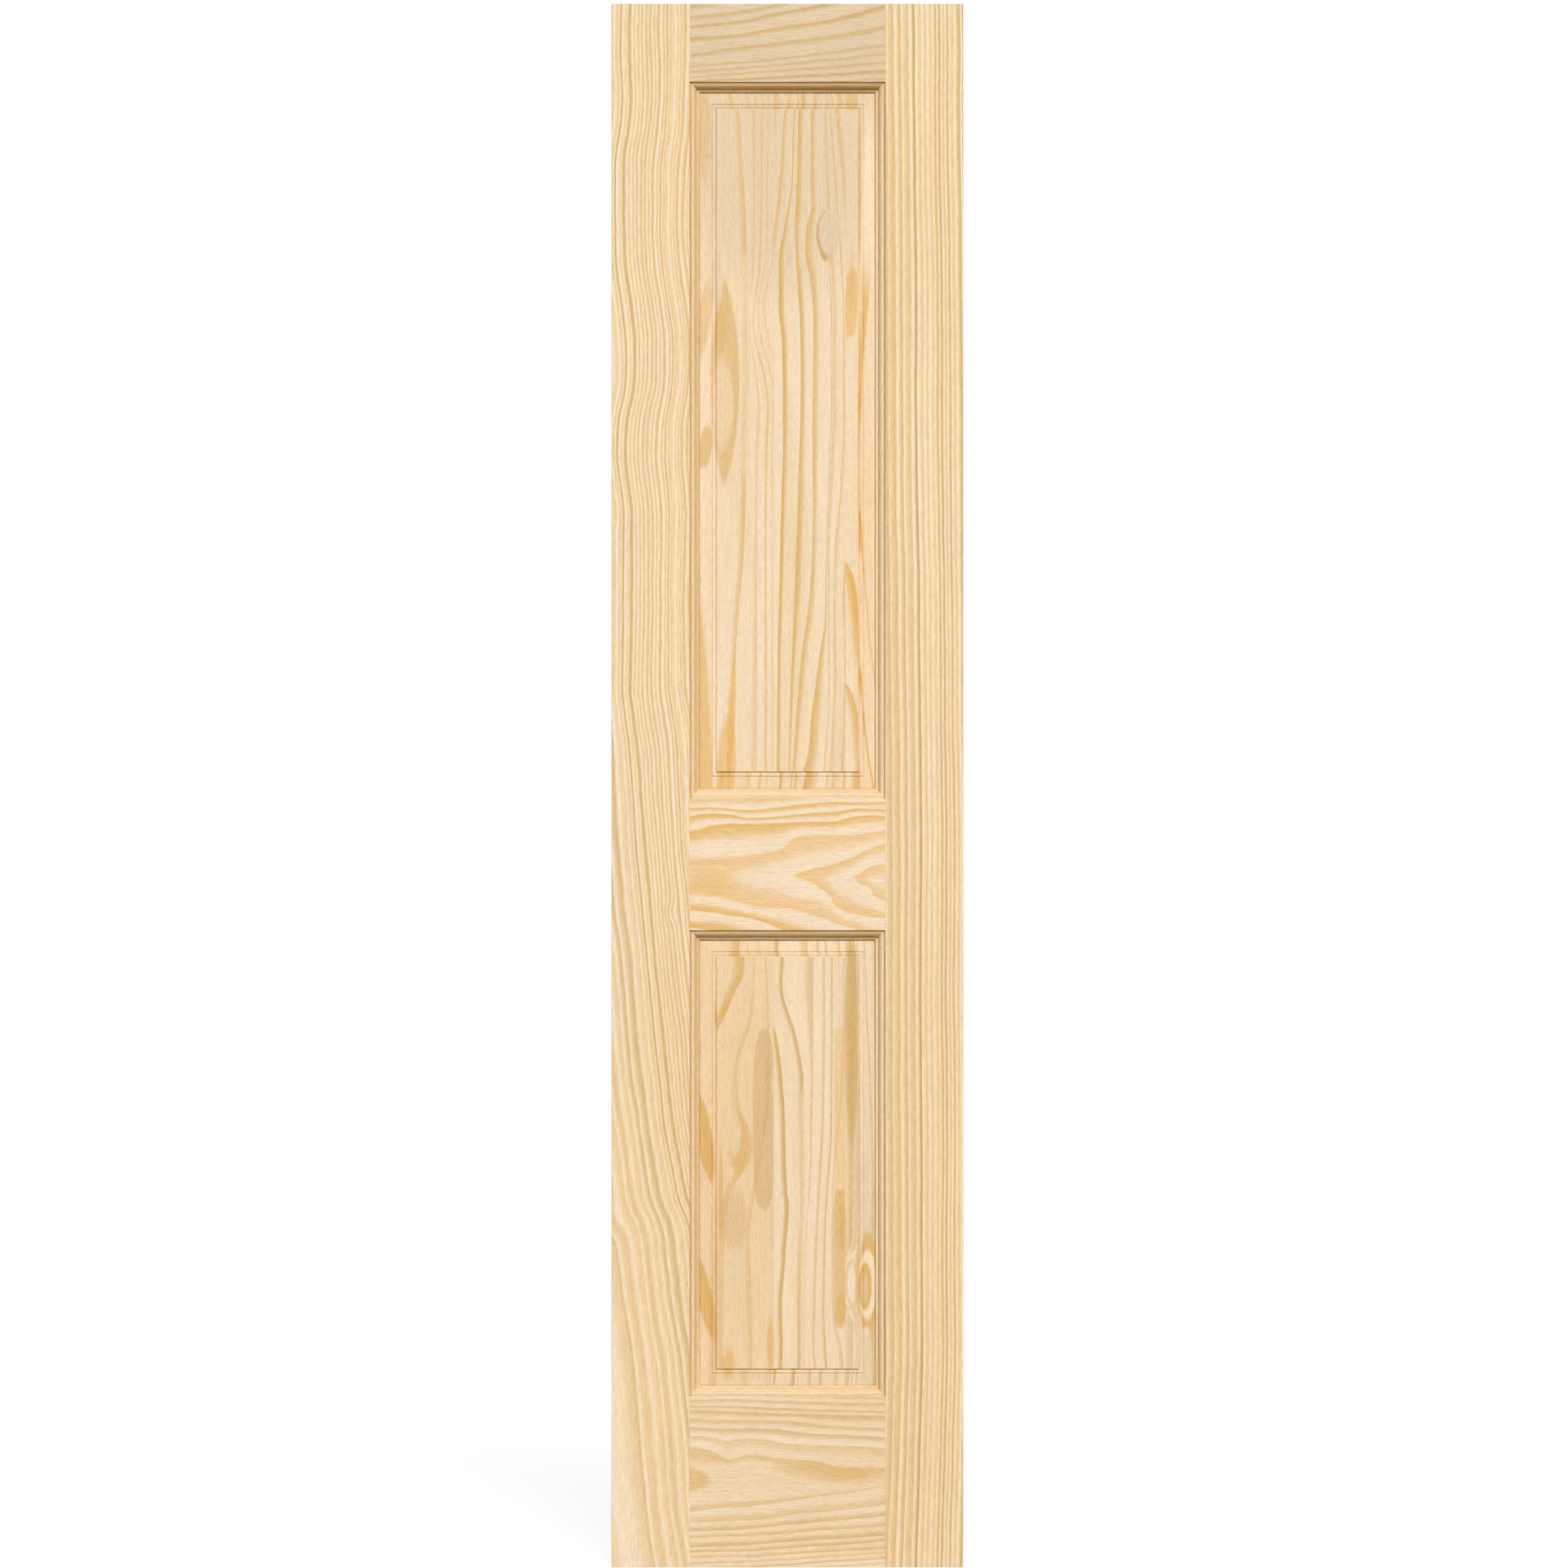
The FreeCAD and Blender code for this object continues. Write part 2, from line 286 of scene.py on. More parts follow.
# Places on the boards, in mm from the middle of the leaf's foot: X to the right, Z up
FACE_DEPTH = LEAF_LOW.y / MM
FIELD_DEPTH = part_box("upper_panel_middle_stave")[0].y / MM
TOP = LEAF_HIGH.z / MM
SIDE = LEAF_HIGH.x / MM
MOULDING_MIDDLE = 1076    # middle and half height of the stiles' moulding past both panels
MOULDING_REACH = 880

# How the share of late wood grows through a ring, where it differs from most boards
SOFT_RAMP = ((0.1, 0.1), (0.35, 0.05), (0.6, 0.6), (0.8, 1.0), (1.0, 0.5))
BROAD_RAMP = ((0.04, 0.0), (0.22, 0.05), (0.46, 0.65), (0.82, 1.0), (1.0, 0.5))

# How far the stiles' rings stand aside along their height
LEFT_STILE_SWAY = (
    (0, 140), (85, 128), (138, 123), (223, 116), (286, 109), (349, 99), (391, 94), (444, 85), (476, 73),
    (507, 67), (560, 58), (634, 48), (687, 43), (771, 35), (824, 30), (887, 24), (940, 18), (1024, 13),
    (1066, 11), (1109, 5), (1151, 0), (1235, 0), (1320, 2), (1362, 3), (1404, -1), (1446, -5), (1488, -4),
    (1541, 5), (1583, 6), (1636, 1), (1689, -6), (1720, -8), (1773, -9), (1826, -8), (1879, -2),
    (1931, 0), (2032, 0))
RIGHT_STILE_SWAY = (
    (0, -7), (138, -3), (307, 0), (771, -1), (919, -1), (1214, -4), (1362, -6), (1720, -8), (1879, -9),
    (2032, -11))

# Painted shade: the early wood of the upper panel is drawn greyer towards its top, and greyer still on its
# top hip as a painted shadow of the moulding above it
TOP_SHADE = (Patch(-8, 1850, 150, 230, "shell", 0.8, (0.6, 0.6)),
             Patch(-8, 1916, 150, 24, "straw", 0.7, (0.5, 0.5)))

# Each board's rings and spread late wood
BOARDS = {
    "left_stile": Board(
        "Z", FACE_DEPTH, swayed(
            LEFT_STILE_SWAY, (-420,), (-372, 0.5, 0.5), (-315, 0.6, 0.6), (-301, 0.5, 0.8),
            (-287, 0.6, 0.75), (-275, 0.55, 0.8), (-263, 0.7, 0.75), (-251, 0.6, 0.8), (-240, 0.7, 0.75),
            (-230, 0.65, 0.75), (-221, 0.65, 0.6), (-172, 0.65, 0.95, 9), (-122, 0.65, 1.0, 9),
            (-90, 0.65, 1.0, 6)),
        tones=("ivory", "cream", "gold", "tan"), contrast=0.97, ramp=BROAD_RAMP, uneven=1.2, wander=9,
        wander_length=130, wander_width=70, seed=1.0,
        bows=(Bow(-152, 850, 9, 14, 5), Bow(-232, 452, 20, 22, 12)),
        casts=(Patch(-172, 420, 85, 560, "honey", 0.14, (0.9, 0.9)),)),
    "right_stile": Board(
        "Z", FACE_DEPTH, swayed(
            RIGHT_STILE_SWAY, (90,), (109, 0.7), (129, 0.6), (139, 0.85, 0.75), (149, 0.9, 0.9),
            (158, 0.6, 0.9), (168.5, 0.8, 0.7), (176, 0.5), (184, 0.55, 0.85), (190.5, 0.5, 0.95),
            (198, 0.5, 0.85), (203.8, 0.6), (209, 0.6, 0.9), (214.2, 0.6), (219.4, 0.6, 0.9),
            (226, 0.65, 0.9), (234.5, 0.6, 0.9), (260, 0.6, 1.0, 4)),
        tones=("ivory", "cream", "gold", "tan"), contrast=1.12, ramp=BROAD_RAMP, wander=5,
        wander_length=210, seed=2.0,
        casts=(Patch(172, 420, 85, 560, "amber", 0.12, (0.9, 0.9)),)),
    # Its grey early wood is partly the board's own tone and partly painted shade, for less light towards
    # the top of the leaf
    "top_rail": Board(
        "X", FACE_DEPTH, (
            Line(((-130, 1905), (130, 1915))),
            Line(((-130, 1926), (130, 1936)), years=3),
            Line(((-123, 1938), (0, 1948), (125, 1958)), years=2),
            Line(((-123, 1953), (-30, 1960), (57, 1971), (125, 1981)), years=2),
            Line(((-123, 1967), (-63, 1976), (0, 1984), (57, 1992), (125, 2005)), late=0.45),
            Line(((-123, 1988), (-63, 1992), (-10, 2002), (57, 2013), (125, 2031)), late=0.4),
            Line(((-123, 2003), (-63, 2010), (-5, 2023), (30, 2030), (125, 2052)), late=0.4),
            Line(((-123, 2015), (-63, 2023), (-27, 2030), (125, 2075))),
            Line(((-123, 2030), (125, 2100)))),
        tones=("straw", "shell", "tan", "tan"), contrast=0.9, ramp=SOFT_RAMP, wander=6,
        wander_length=140, seed=3.0),
    "lock_rail": Board(
        "X", FACE_DEPTH, (
            Line(((-130, 760), (0, 830), (80, 870), (110, 885), (132, 893))),
            Line(((-130, 790), (30, 860), (70, 886), (87, 897), (96, 903), (109, 911), (132, 914)),
                 late=0.85),
            Line(((-130, 840), (-50, 872), (-10, 890), (6, 898), (15, 902), (31, 908), (52, 913),
                  (73, 919), (88, 925), (99, 931), (115, 937), (132, 940)), late=0.55),
            Line(((-130, 925), (-99, 923), (-73, 925), (-42, 928), (-16, 933), (-4, 938), (4, 946),
                  (15, 950), (52, 951), (94, 953), (115, 956), (132, 960)), late=0.75),
            Line(((-130, 956), (-115, 959), (-99, 964), (-73, 967), (-31, 966), (-10, 967), (31, 969),
                  (62, 970), (83, 975), (104, 977), (132, 976)), late=0.6),
            Line(((-130, 976), (-99, 979), (-73, 978), (-52, 974), (-31, 974), (-10, 976), (31, 980),
                  (62, 982), (94, 986), (132, 985))),
            Line(((-130, 988), (-94, 987), (-52, 985), (-10, 988), (31, 993), (73, 994), (132, 995))),
            Line(((-130, 999), (132, 1004))),
            Line(((-130, 1010), (132, 1014)))),
        below=(
            Line(((-130, 1024), (0, 954), (80, 914), (110, 899), (132, 891))),
            Line(((-130, 1010), (30, 935), (70, 907), (87, 897), (96, 889), (109, 883), (112, 875),
                  (120, 869), (132, 866)), late=0.85),
            Line(((-130, 955), (-50, 924), (-10, 906), (6, 898), (21, 893), (36, 887), (47, 879),
                  (57, 871), (59, 864), (68, 855), (83, 850), (104, 845), (132, 842)), late=0.55),
            Line(((-130, 873), (-99, 871), (-78, 867), (-63, 863), (-42, 857), (-21, 855), (0, 854),
                  (21, 849), (41, 844), (62, 837), (83, 830), (94, 826), (132, 800)), late=0.75),
            Line(((-130, 854), (-99, 851), (-73, 846), (-42, 842), (-21, 836), (-5, 829), (5, 824),
                  (132, 785))),
            Line(((-130, 832), (-99, 828), (-42, 818), (132, 775))),
            Line(((-130, 815), (132, 760)))),
        tones=("cream", "cream", "gold", "honey"), contrast=1.0, wander=7, wander_length=60,
        wander_width=40, depth_shift=0.3, seed=4.0,
        patches=(Patch(-8, 941, 16, 3.2, "cream", 0.8, (0.8, 0.8)),
                 Patch(-100, 888, 42, 22, "honey", 0.35, (0.95, 0.95)),
                 Patch(-20, 909, 60, 9, "cream", 0.6, (0.7, 0.9), -9, OVAL, 0.3),
                 Patch(-10, 884, 72, 10, "cream", 0.6, (0.7, 0.9), 14, OVAL, 0.3))),
    "bottom_rail": Board(
        "X", FACE_DEPTH, (
            Line(((-130, 118), (-80, 128), (-48, 134), (0, 124), (48, 111), (83, 104), (132, 108))),
            Line(((-130, 158), (-104, 153), (-89, 146), (-75, 139), (-63, 142), (-52, 146), (-11, 142),
                  (41, 138), (62, 133), (126, 130)), late=0.8, strength=1.25),
            Line(((-130, 172), (-99, 169), (-78, 164), (-58, 167), (-26, 166), (0, 161), (41, 159),
                  (83, 158), (126, 155))),
            Line(((-130, 183), (-84, 180), (-21, 180), (5, 177), (31, 174), (83, 172), (126, 169))),
            Line(((-130, 194), (-84, 191), (-21, 191), (15, 189), (52, 185), (94, 182), (126, 181))),
            Line(((-130, 205), (-73, 202), (-10, 200), (52, 199), (126, 197))),
            Line(((-130, 210), (-10, 207), (126, 203))),
            Line(((-130, 218), (-31, 217), (126, 213))),
            Line(((-130, 226), (126, 222))),
            Line(((-130, 240), (126, 236)), years=2)),
        below=(
            Line(((-130, 108), (132, 108))),
            Line(((-130, 71), (-104, 75), (-37, 80), (0, 85), (41, 92), (83, 97), (126, 106)), late=0.35),
            Line(((-130, 58), (-73, 60), (-21, 63), (15, 69), (52, 72), (94, 76), (126, 81))),
            Line(((-130, 47), (-73, 48), (-10, 54), (31, 57), (73, 61), (126, 66))),
            Line(((-130, 38), (-73, 40), (-21, 42), (31, 46), (126, 53))),
            Line(((-130, 26), (-73, 28), (-10, 32), (52, 36), (126, 41))),
            Line(((-130, 19), (-42, 22), (41, 27), (126, 34))),
            Line(((-130, 12), (-42, 14), (41, 19), (126, 24))),
            Line(((-130, 3), (-42, 7), (41, 12), (126, 18))),
            Line(((-130, -12), (126, 4)), years=2),
            Line(((-130, -40), (126, -26)), years=4)),
        contrast=0.66, wander=4, wander_length=70, wander_width=50, depth_shift=0.3, seed=5.0,
        patches=(Patch(48, 122, 84, 13, "amber", 0.45, (0.9, 0.8), 6, OVAL, 0.3),
                 Patch(-134, 114, 38, 17, "amber", 0.6, (0.5, 0.5), 0, OVAL, 0.2))),
    "upper_panel_left": Board(
        "Z", FIELD_DEPTH, (
            Line(((1005, -175), (1920, -175))),
            Line(((1005, -128), (1920, -128)), strength=0.4),
            Line(((1005, -76), (1035, -75), (1098, -73), (1161, -69), (1203, -66), (1256, -62),
                  (1309, -57), (1383, -54), (1509, -53), (1594, -52), (1689, -53), (1762, -55),
                  (1826, -59), (1920, -64)), late=0.13, strength=1.1),
            Line(((1005, -40), (1450, -38), (1510, -36), (1550, -40), (1594, -47), (1620, -50),
                  (1700, -44), (1920, -42)), late=0.3, strength=0.8),
            Line(((1005, -27), (1450, -26), (1510, -24), (1550, -29), (1594, -41), (1620, -44),
                  (1700, -35), (1920, -32)), late=0.35, strength=0.9),
            Line(((1005, -18), (1450, -19), (1530, -17), (1560, -22), (1600, -34), (1640, -37),
                  (1700, -28), (1920, -24)), late=0.35, strength=0.9),
            Line(((1005, -5), (1540, -11), (1570, -17), (1610, -26), (1640, -30), (1700, -18),
                  (1920, -15)), late=0.4, strength=0.65),
            Line(((1005, 12), (1920, 12)))),
        tones=("cream", "rose", "amber", "honey"), wander=3, step_shift=6.0, seed=6.0,
        casts=TOP_SHADE,
        patches=(Patch(-54, 1560, 6, 150, "rose", 0.65, (0.6, 0.6), 0, BAND),
                 Patch(-82, 1541, 21, 146, "amber", 0.64, (0.4, 0.15), 0, LENS, 0.3),
                 Patch(-92, 1674, 8, 48, "shell", 0.9, (0.5, 0.6), 0, OVAL, 0.3),
                 Patch(-86, 1512, 18.5, 72, "rose", 0.85, (0.9, 0.35), 0, (1.6, 2.0), 0.3),
                 Patch(-87, 1610, 10, 42, "amber", 0.35, (0.4, 0.9)),
                 Patch(-107, 1862, 9, 78, "amber", 0.4, (0.3, 0.9)),
                 Patch(-108, 1622, 11, 62, "amber", 0.45, (0.3, 0.9), 8),
                 Patch(-106, 1456, 9, 32, "amber", 0.65, (0.4, 0.6), 6, (3.0, 2.2), 0.4),
                 Patch(-110, 1050, 14, 245, "honey", 0.65, (0.4, 0.5), -2, OVAL, 0.3),
                 Patch(-80.5, 1030, 13, 84, "honey", 0.65, (0.7, 0.3), 3, (3.0, 2.2), 0.3),
                 Patch(-73, 1095, 5, 110, "honey", 0.7, (0.9, 0.3), 3, LENS, 0.3))),
    "upper_panel_middle": Board(
        "Z", FIELD_DEPTH, (
            Line(((1005, 90), (1920, 96))),
            Line(((1005, 69), (1035, 70), (1109, 73), (1214, 74), (1256, 72), (1320, 76), (1500, 84),
                  (1700, 80), (1762, 74), (1815, 70), (1889, 62), (1920, 60)), late=0.3, strength=0.8),
            Line(((1005, 54), (1035, 55), (1088, 58), (1161, 61), (1214, 60), (1320, 61), (1383, 67),
                  (1446, 71), (1509, 73), (1636, 72), (1720, 67), (1762, 63), (1815, 60), (1920, 52)),
                 late=0.4, strength=0.8),
            Line(((1005, 46), (1035, 47), (1130, 53), (1214, 53), (1309, 52), (1362, 53), (1425, 56),
                  (1509, 59), (1594, 59), (1662, 58), (1689, 56), (1720, 54), (1762, 53), (1800, 50),
                  (1920, 48)), late=0.5, strength=0.6),
            Line(((1005, 14), (1035, 20), (1056, 26), (1109, 31), (1140, 36), (1193, 43), (1225, 49),
                  (1309, 50), (1425, 54), (1509, 57), (1594, 57), (1689, 54), (1762, 51), (1920, 46)),
                 late=0.75),
            Line(((1005, 4), (1035, 6), (1077, 9), (1140, 14), (1193, 19), (1235, 25), (1309, 31),
                  (1404, 33), (1615, 33), (1673, 29), (1710, 22), (1742, 24), (1773, 31), (1794, 30),
                  (1920, 31)), late=0.4),
            Line(((1005, 0), (1035, 1), (1109, 3), (1214, 7), (1298, 10), (1351, 12), (1436, 15),
                  (1500, 17), (1615, 16), (1679, 12), (1742, 10), (1815, 13), (1920, 15)), late=0.5),
            Line(((1005, -15), (1035, -14), (1214, -12), (1309, -10), (1383, -8), (1457, -6), (1594, -7),
                  (1636, -11), (1699, -11), (1742, -4), (1794, 5), (1873, 8), (1920, 10)), late=0.35),
            Line(((1005, -28), (1600, -26), (1700, -22), (1742, -17), (1784, -12), (1889, -4),
                  (1920, -3)), late=0.5),
            Line(((1005, -42), (1742, -34), (1920, -22)))),
        tones=("cream", "rose", "amber", "amber"), contrast=1.05, wander=4, step_shift=-6.0, seed=7.0,
        casts=TOP_SHADE,
        patches=(Patch(52, 1733, 15.7, 38, "tan", 0.85, (0.15, 1.0), 0, (1.6, 2.0), 0.1),
                 Patch(54.6, 1736, 15.7, 36, "shell", 0.9, (0.2, 0.9), 0, (1.6, 2.0), 0.1),
                 Patch(46.5, 1704, 2.8, 9, "tan", 0.8, (0.4, 0.3), -20, LENS, 0.2))),
    "upper_panel_right": Board(
        "Z", FIELD_DEPTH, (
            Line(((1005, 50), (1920, -30))),
            Line(((1005, 104), (1035, 101), (1056, 98.5), (1103, 93), (1124, 88.5), (1140, 83),
                  (1149, 76), (1160, 66), (1200, 40), (1920, -10)), late=0.28),
            Line(((1005, 123), (1040, 116), (1066, 112), (1098, 108), (1130, 105), (1161, 102),
                  (1203, 98), (1246, 93), (1277, 89), (1296, 83), (1307, 76), (1318, 66), (1360, 40),
                  (1920, 10)), late=0.28),
            Line(((1005, 150), (1120, 129), (1161, 121), (1193, 117), (1235, 113), (1277, 109),
                  (1320, 105), (1362, 102), (1393, 100), (1446, 100), (1488, 101), (1530, 103),
                  (1573, 106), (1615, 110), (1657, 114), (1710, 117), (1760, 124), (1920, 136)),
                 late=0.15, strength=0.85),
            Line(((1005, 190), (1920, 170)), late=0.1, strength=0.3)),
        tones=("cream", "rose", "amber", "honey"), contrast=1.15, wander=2, step_shift=5.0, seed=8.0,
        casts=TOP_SHADE,
        patches=(Patch(83, 1643, 9.5, 50, "gold", 0.7, (0.4, 0.4), 3, (3.0, 2.0), 0.4),
                 Patch(83, 1680, 10, 50, "amber", 0.25, (0.9, 0.9)),
                 Patch(107, 1775, 13, 140, "ivory", 0.75, (0.9, 0.9), 0, (3.0, 2.0), 0.3),
                 Patch(94, 1800, 2.8, 110, "amber", 0.5),
                 Patch(84, 1906, 9, 13, "amber", 0.6, (0.6, 0.8), 0, (4.0, 4.0), 0.2))),
    "lower_panel_left": Board(
        "Z", FIELD_DEPTH, (
            Line(((233, -210), (813, -110))),
            Line(((233, -160), (600, -125), (690, -95), (718, -80), (745, -69), (766, -58), (792, -55),
                  (813, -52)), late=0.3, strength=1.3),
            Line(((233, -85), (460, -80), (490, -72), (510, -60), (526, -50), (545, -46), (560, -47),
                  (576, -54), (594, -62), (640, -65), (720, -45), (813, -42)), late=0.2, strength=0.6),
            Line(((233, -45), (330, -46), (380, -47), (420, -49), (460, -46), (500, -40), (640, -22),
                  (813, -28)), late=0.25, strength=0.55),
            Line(((233, -14), (813, -14)), late=0.3, strength=0.3),
            Line(((233, 8), (813, 8)))),
        tones=("rose", "rose", "amber", "tan"), wander=4, step_shift=6.0, seed=9.0,
        casts=(Patch(-60, 520, 62, 330, "honey", 0.16, (0.9, 0.9)),),
        patches=(Patch(-65, 550, 17, 50, "amber", 0.65, (0.8, 0.35), 0, LENS, 0.3),
                 Patch(-69, 562, 13, 36, "rose", 0.75, (0.8, 0.7), 0, LENS, 0.4),
                 Patch(-70, 450, 19, 52, "moulded_dark", 0.36, (0.8, 0.6), 0, (3.0, 1.5)),
                 Patch(-30.5, 580, 15.5, 122, "moulded_dark", 0.5, (0.2, 0.2), 0, (2.6, 3.0), 0.2),
                 Patch(-104, 690, 11, 70, "rose", 0.95, (0.5, 0.3)),
                 Patch(-19, 626, 3.5, 9, "rose", 0.7, (0.5, 0.5), 0, LENS, 0.2),
                 Patch(-110, 564, 13, 72, "amber", 0.86, (0.4, 0.4), -10, (1.5, 2.0), 0.3),
                 Patch(-108.5, 354, 12, 72, "amber", 0.85, (0.4, 0.5), -12, (1.4, 2.0), 0.3),
                 Patch(-70, 393, 15, 30, "shell", 0.6, (0.9, 0.9)),
                 Patch(-82, 726, 5.5, 17, "amber", 0.55, (0.5, 0.4), 28, LENS, 0.2),
                 Patch(-77, 262, 12, 26, "amber", 0.6, (0.9, 0.9)),
                 Patch(-22, 288, 6, 46, "honey", 0.7, (0.8, 0.8)),
                 Patch(-87, 480, 4, 74, "amber", 0.7, (0.9, 0.5)))),
    "lower_panel_middle": Board(
        "Z", FIELD_DEPTH, (
            Line(((233, -50), (813, -60))),
            Line(((233, -8), (254, -7), (286, -6), (328, -7), (360, -6), (391, -3), (412, -2), (444, 1),
                  (470, 2), (487, 0), (518, -2), (560, -3), (602, -4), (623, -6), (655, -9), (676, -12),
                  (697, -16), (720, -24), (813, -30)), late=0.16, strength=1.35),
            Line(((233, 18), (391, 19), (518, 21), (600, 20), (634, 21), (655, 18), (676, 14), (697, 9),
                  (718, 2), (739, -5), (755, -7), (792, -5), (813, -4)), late=0.3),
            Line(((233, 22), (328, 22), (391, 23), (434, 25), (476, 28), (518, 31), (602, 33), (739, 34),
                  (813, 35)), late=0.35, strength=0.7),
            Line(((233, 39), (254, 38), (286, 35), (328, 36), (391, 38), (444, 40), (487, 42), (560, 47),
                  (655, 49), (813, 50)), late=0.35, strength=0.8),
            Line(((233, 53), (254, 52), (286, 50), (328, 48), (391, 49), (434, 50), (476, 52), (518, 55),
                  (560, 58), (655, 59), (813, 60)), late=0.35, strength=0.8),
            Line(((233, 74), (286, 70), (320, 62), (391, 60), (455, 60), (518, 61), (560, 66), (655, 74),
                  (813, 78)), late=0.35, strength=0.6),
            Line(((233, 92), (813, 96)))),
        wander=3, step_shift=6.0, seed=10.0,
        patches=(Patch(20, 425, 4.5, 200, "rose", 0.6, (0.5, 0.5), 0, BAND, 0.3),
                 Patch(68, 400, 8, 92, "amber", 0.65, (0.5, 0.3), 0, BAND),
                 Patch(70, 440, 8, 36, "amber", 0.5, (0.6, 0.4)),
                 Patch(69, 334, 8, 22, "amber", 0.5, (0.6, 0.4)),
                 Patch(69, 585, 8.5, 120, "honey", 0.4, (0.6, 0.4), 0, BAND, 0.3))),
    "lower_panel_right": Board(
        "Z", FIELD_DEPTH, (
            Line(((233, 52), (813, 58))),
            Line(((233, 86), (254, 86), (318, 86), (335, 82), (345, 73), (375, 70), (404, 77), (424, 83),
                  (455, 85), (560, 86), (655, 88), (813, 89)), late=0.4, strength=0.8),
            Line(((233, 91), (254, 91), (310, 90), (340, 85), (352, 79), (375, 78), (400, 83), (418, 88),
                  (455, 90), (560, 91), (655, 92), (813, 93)), late=0.6, strength=0.8),
            Line(((233, 97), (320, 95), (375, 93), (430, 95), (500, 96), (813, 97)), late=0.6,
                 strength=0.8),
            Line(((233, 119), (400, 118), (560, 117), (613, 115), (666, 113), (708, 110), (771, 108),
                  (813, 106)), late=0.25),
            Line(((233, 136), (813, 126)))),
        tones=("straw", "cream", "amber", "tan"), wander=3, step_shift=3.0, seed=11.0,
        patches=(Patch(83, 690, 9, 160, "tan", 0.65, (0.6, 0.4), 0, (3.0, 2.0)),
                 Patch(87, 560, 8, 270, "tan", 0.3, (0.6, 0.4), 0, (4.0, 4.0), 0.3),
                 Patch(105, 368, 14, 78, "amber", 0.85, (0.5, 0.4), 0, OVAL, 0.15),
                 Patch(104, 366, 13, 50, "cream", 0.9, (0.3, 0.3), 0, OVAL, 0.15),
                 Patch(101, 364, 9.5, 34, "amber", 0.9, (0.3, 0.3), 0, OVAL, 0.15),
                 Patch(100, 362, 6.5, 26, "straw", 0.5, (0.7, 0.7)),
                 Patch(84, 368, 5, 27, "cream", 0.85, (0.4, 0.4), 0, (3.0, 2.0), 0.3),
                 Patch(84, 405, 3.2, 11, "cream", 0.75, (0.5, 0.5), 28, OVAL, 0.3),
                 Patch(84, 326, 3.2, 10, "cream", 0.75, (0.5, 0.5), -24, OVAL, 0.3),
                 Patch(103, 305, 5, 8, "cream", 0.8, (0.8, 0.8)))),
    # Painted shade: the moulding is drawn darker than the stiles' pine, and its quirks, its lip and the
    # whole left moulding darker still; painted highlights pale its rounds
    "stile_mould": Board(
        "Z", FACE_DEPTH, straight(0, TOP, -SIDE - 30, SIDE + 30, 6.5),
        tones=("moulded_pale", "moulded_pale", "moulded_dark", "moulded_dark"), contrast=0.6, wander=0.6,
        seed=12.0,
        patches=(painted_moulding_shading(-120.6, 8, "moulded_dark", 0.2),
                 painted_moulding_shading(-122.6, 1.6, "cream", 0.45),
                 painted_moulding_shading(-126.2, 1.2, "resin", 0.4, 0.4),
                 painted_moulding_shading(-115.2, 1.2, "resin", 0.3, 0.4),
                 painted_moulding_shading(126.2, 1.2, "resin", 0.4, 0.4),
                 painted_moulding_shading(123.4, 1.9, "cream", 0.7),
                 painted_moulding_shading(116.4, 1.5, "cream", 0.6))),
    # Painted shade and painted light: the strips that face down, under the top and lock rails, are drawn
    # darker, and those that face up, over the lock and bottom rails, paler
    "downward_mould_painted_shade": Board(
        "X", FACE_DEPTH, straight(-SIDE, SIDE, -40, TOP + 40, 6.5),
        tones=("moulded_pale", "moulded_dark", "moulded_dark", "moulded_dark"), contrast=0.8, seed=13.0),
    "upward_mould_painted_light": Board(
        "X", FACE_DEPTH, straight(-SIDE, SIDE, -40, TOP + 40, 6.5),
        tones=("shell", "moulded_pale", "moulded_dark", "moulded_dark"), contrast=0.55, seed=17.0),
    "edge_strip": Board(
        "Z", FACE_DEPTH, straight(0, TOP, -SIDE - 60, SIDE + 60, 4), contrast=0.6, depth_shift=1.4,
        seed=14.0),
    "stile_core": Board(
        "Z", FACE_DEPTH, straight(0, TOP, -SIDE - 60, SIDE + 60, 5), contrast=0.7, depth_shift=0.6,
        seed=15.0),
    "rail_core": Board(
        "X", FACE_DEPTH, straight(-SIDE, SIDE, -60, TOP + 60, 5), contrast=0.7, depth_shift=0.6, seed=16.0),
}


# Materials

WHITE = (1.0, 1.0, 1.0, 1.0)

# Mix has sockets of one name for numbers and for colours, so those for colours go by their places
COLOUR_A = 6
COLOUR_B = 7
MIXED_COLOUR = 2


def add(tree, kind, sockets=None, **settings):
    """Adds a shader node with its settings and its sockets, each a value or an output to link.

    Gives the node's outputs."""
    made = tree.nodes.new("ShaderNode" + kind)
    for name, value in settings.items():
        setattr(made, name, value)
    for key, value in (sockets or {}).items():
        if isinstance(value, bpy.types.NodeSocket):
            tree.links.new(value, made.inputs[key])
        else:
            made.inputs[key].default_value = value
    return made.outputs


def empty_tree(owner):
    """The nodes of a new material or world, with none in place yet."""
    owner.use_nodes = True
    owner.node_tree.nodes.clear()
    return owner.node_tree


def opaque(rgb):
    """A linear colour with full alpha, as a socket takes it."""
    return (*rgb, 1.0)


def along_axis(board, along, across):
    """A vector for one board: the value along its grain, and the value across it and into it."""
    return (across, across, along) if board.along == "Z" else (along, across, across)


class Streaks(NamedTuple):
    """A noise drawn out along the grain: its length and width in mm, and a seed beside its board's."""
    length: float
    width: float
    seed: float
    detail: float
    roughness: float = 0.5


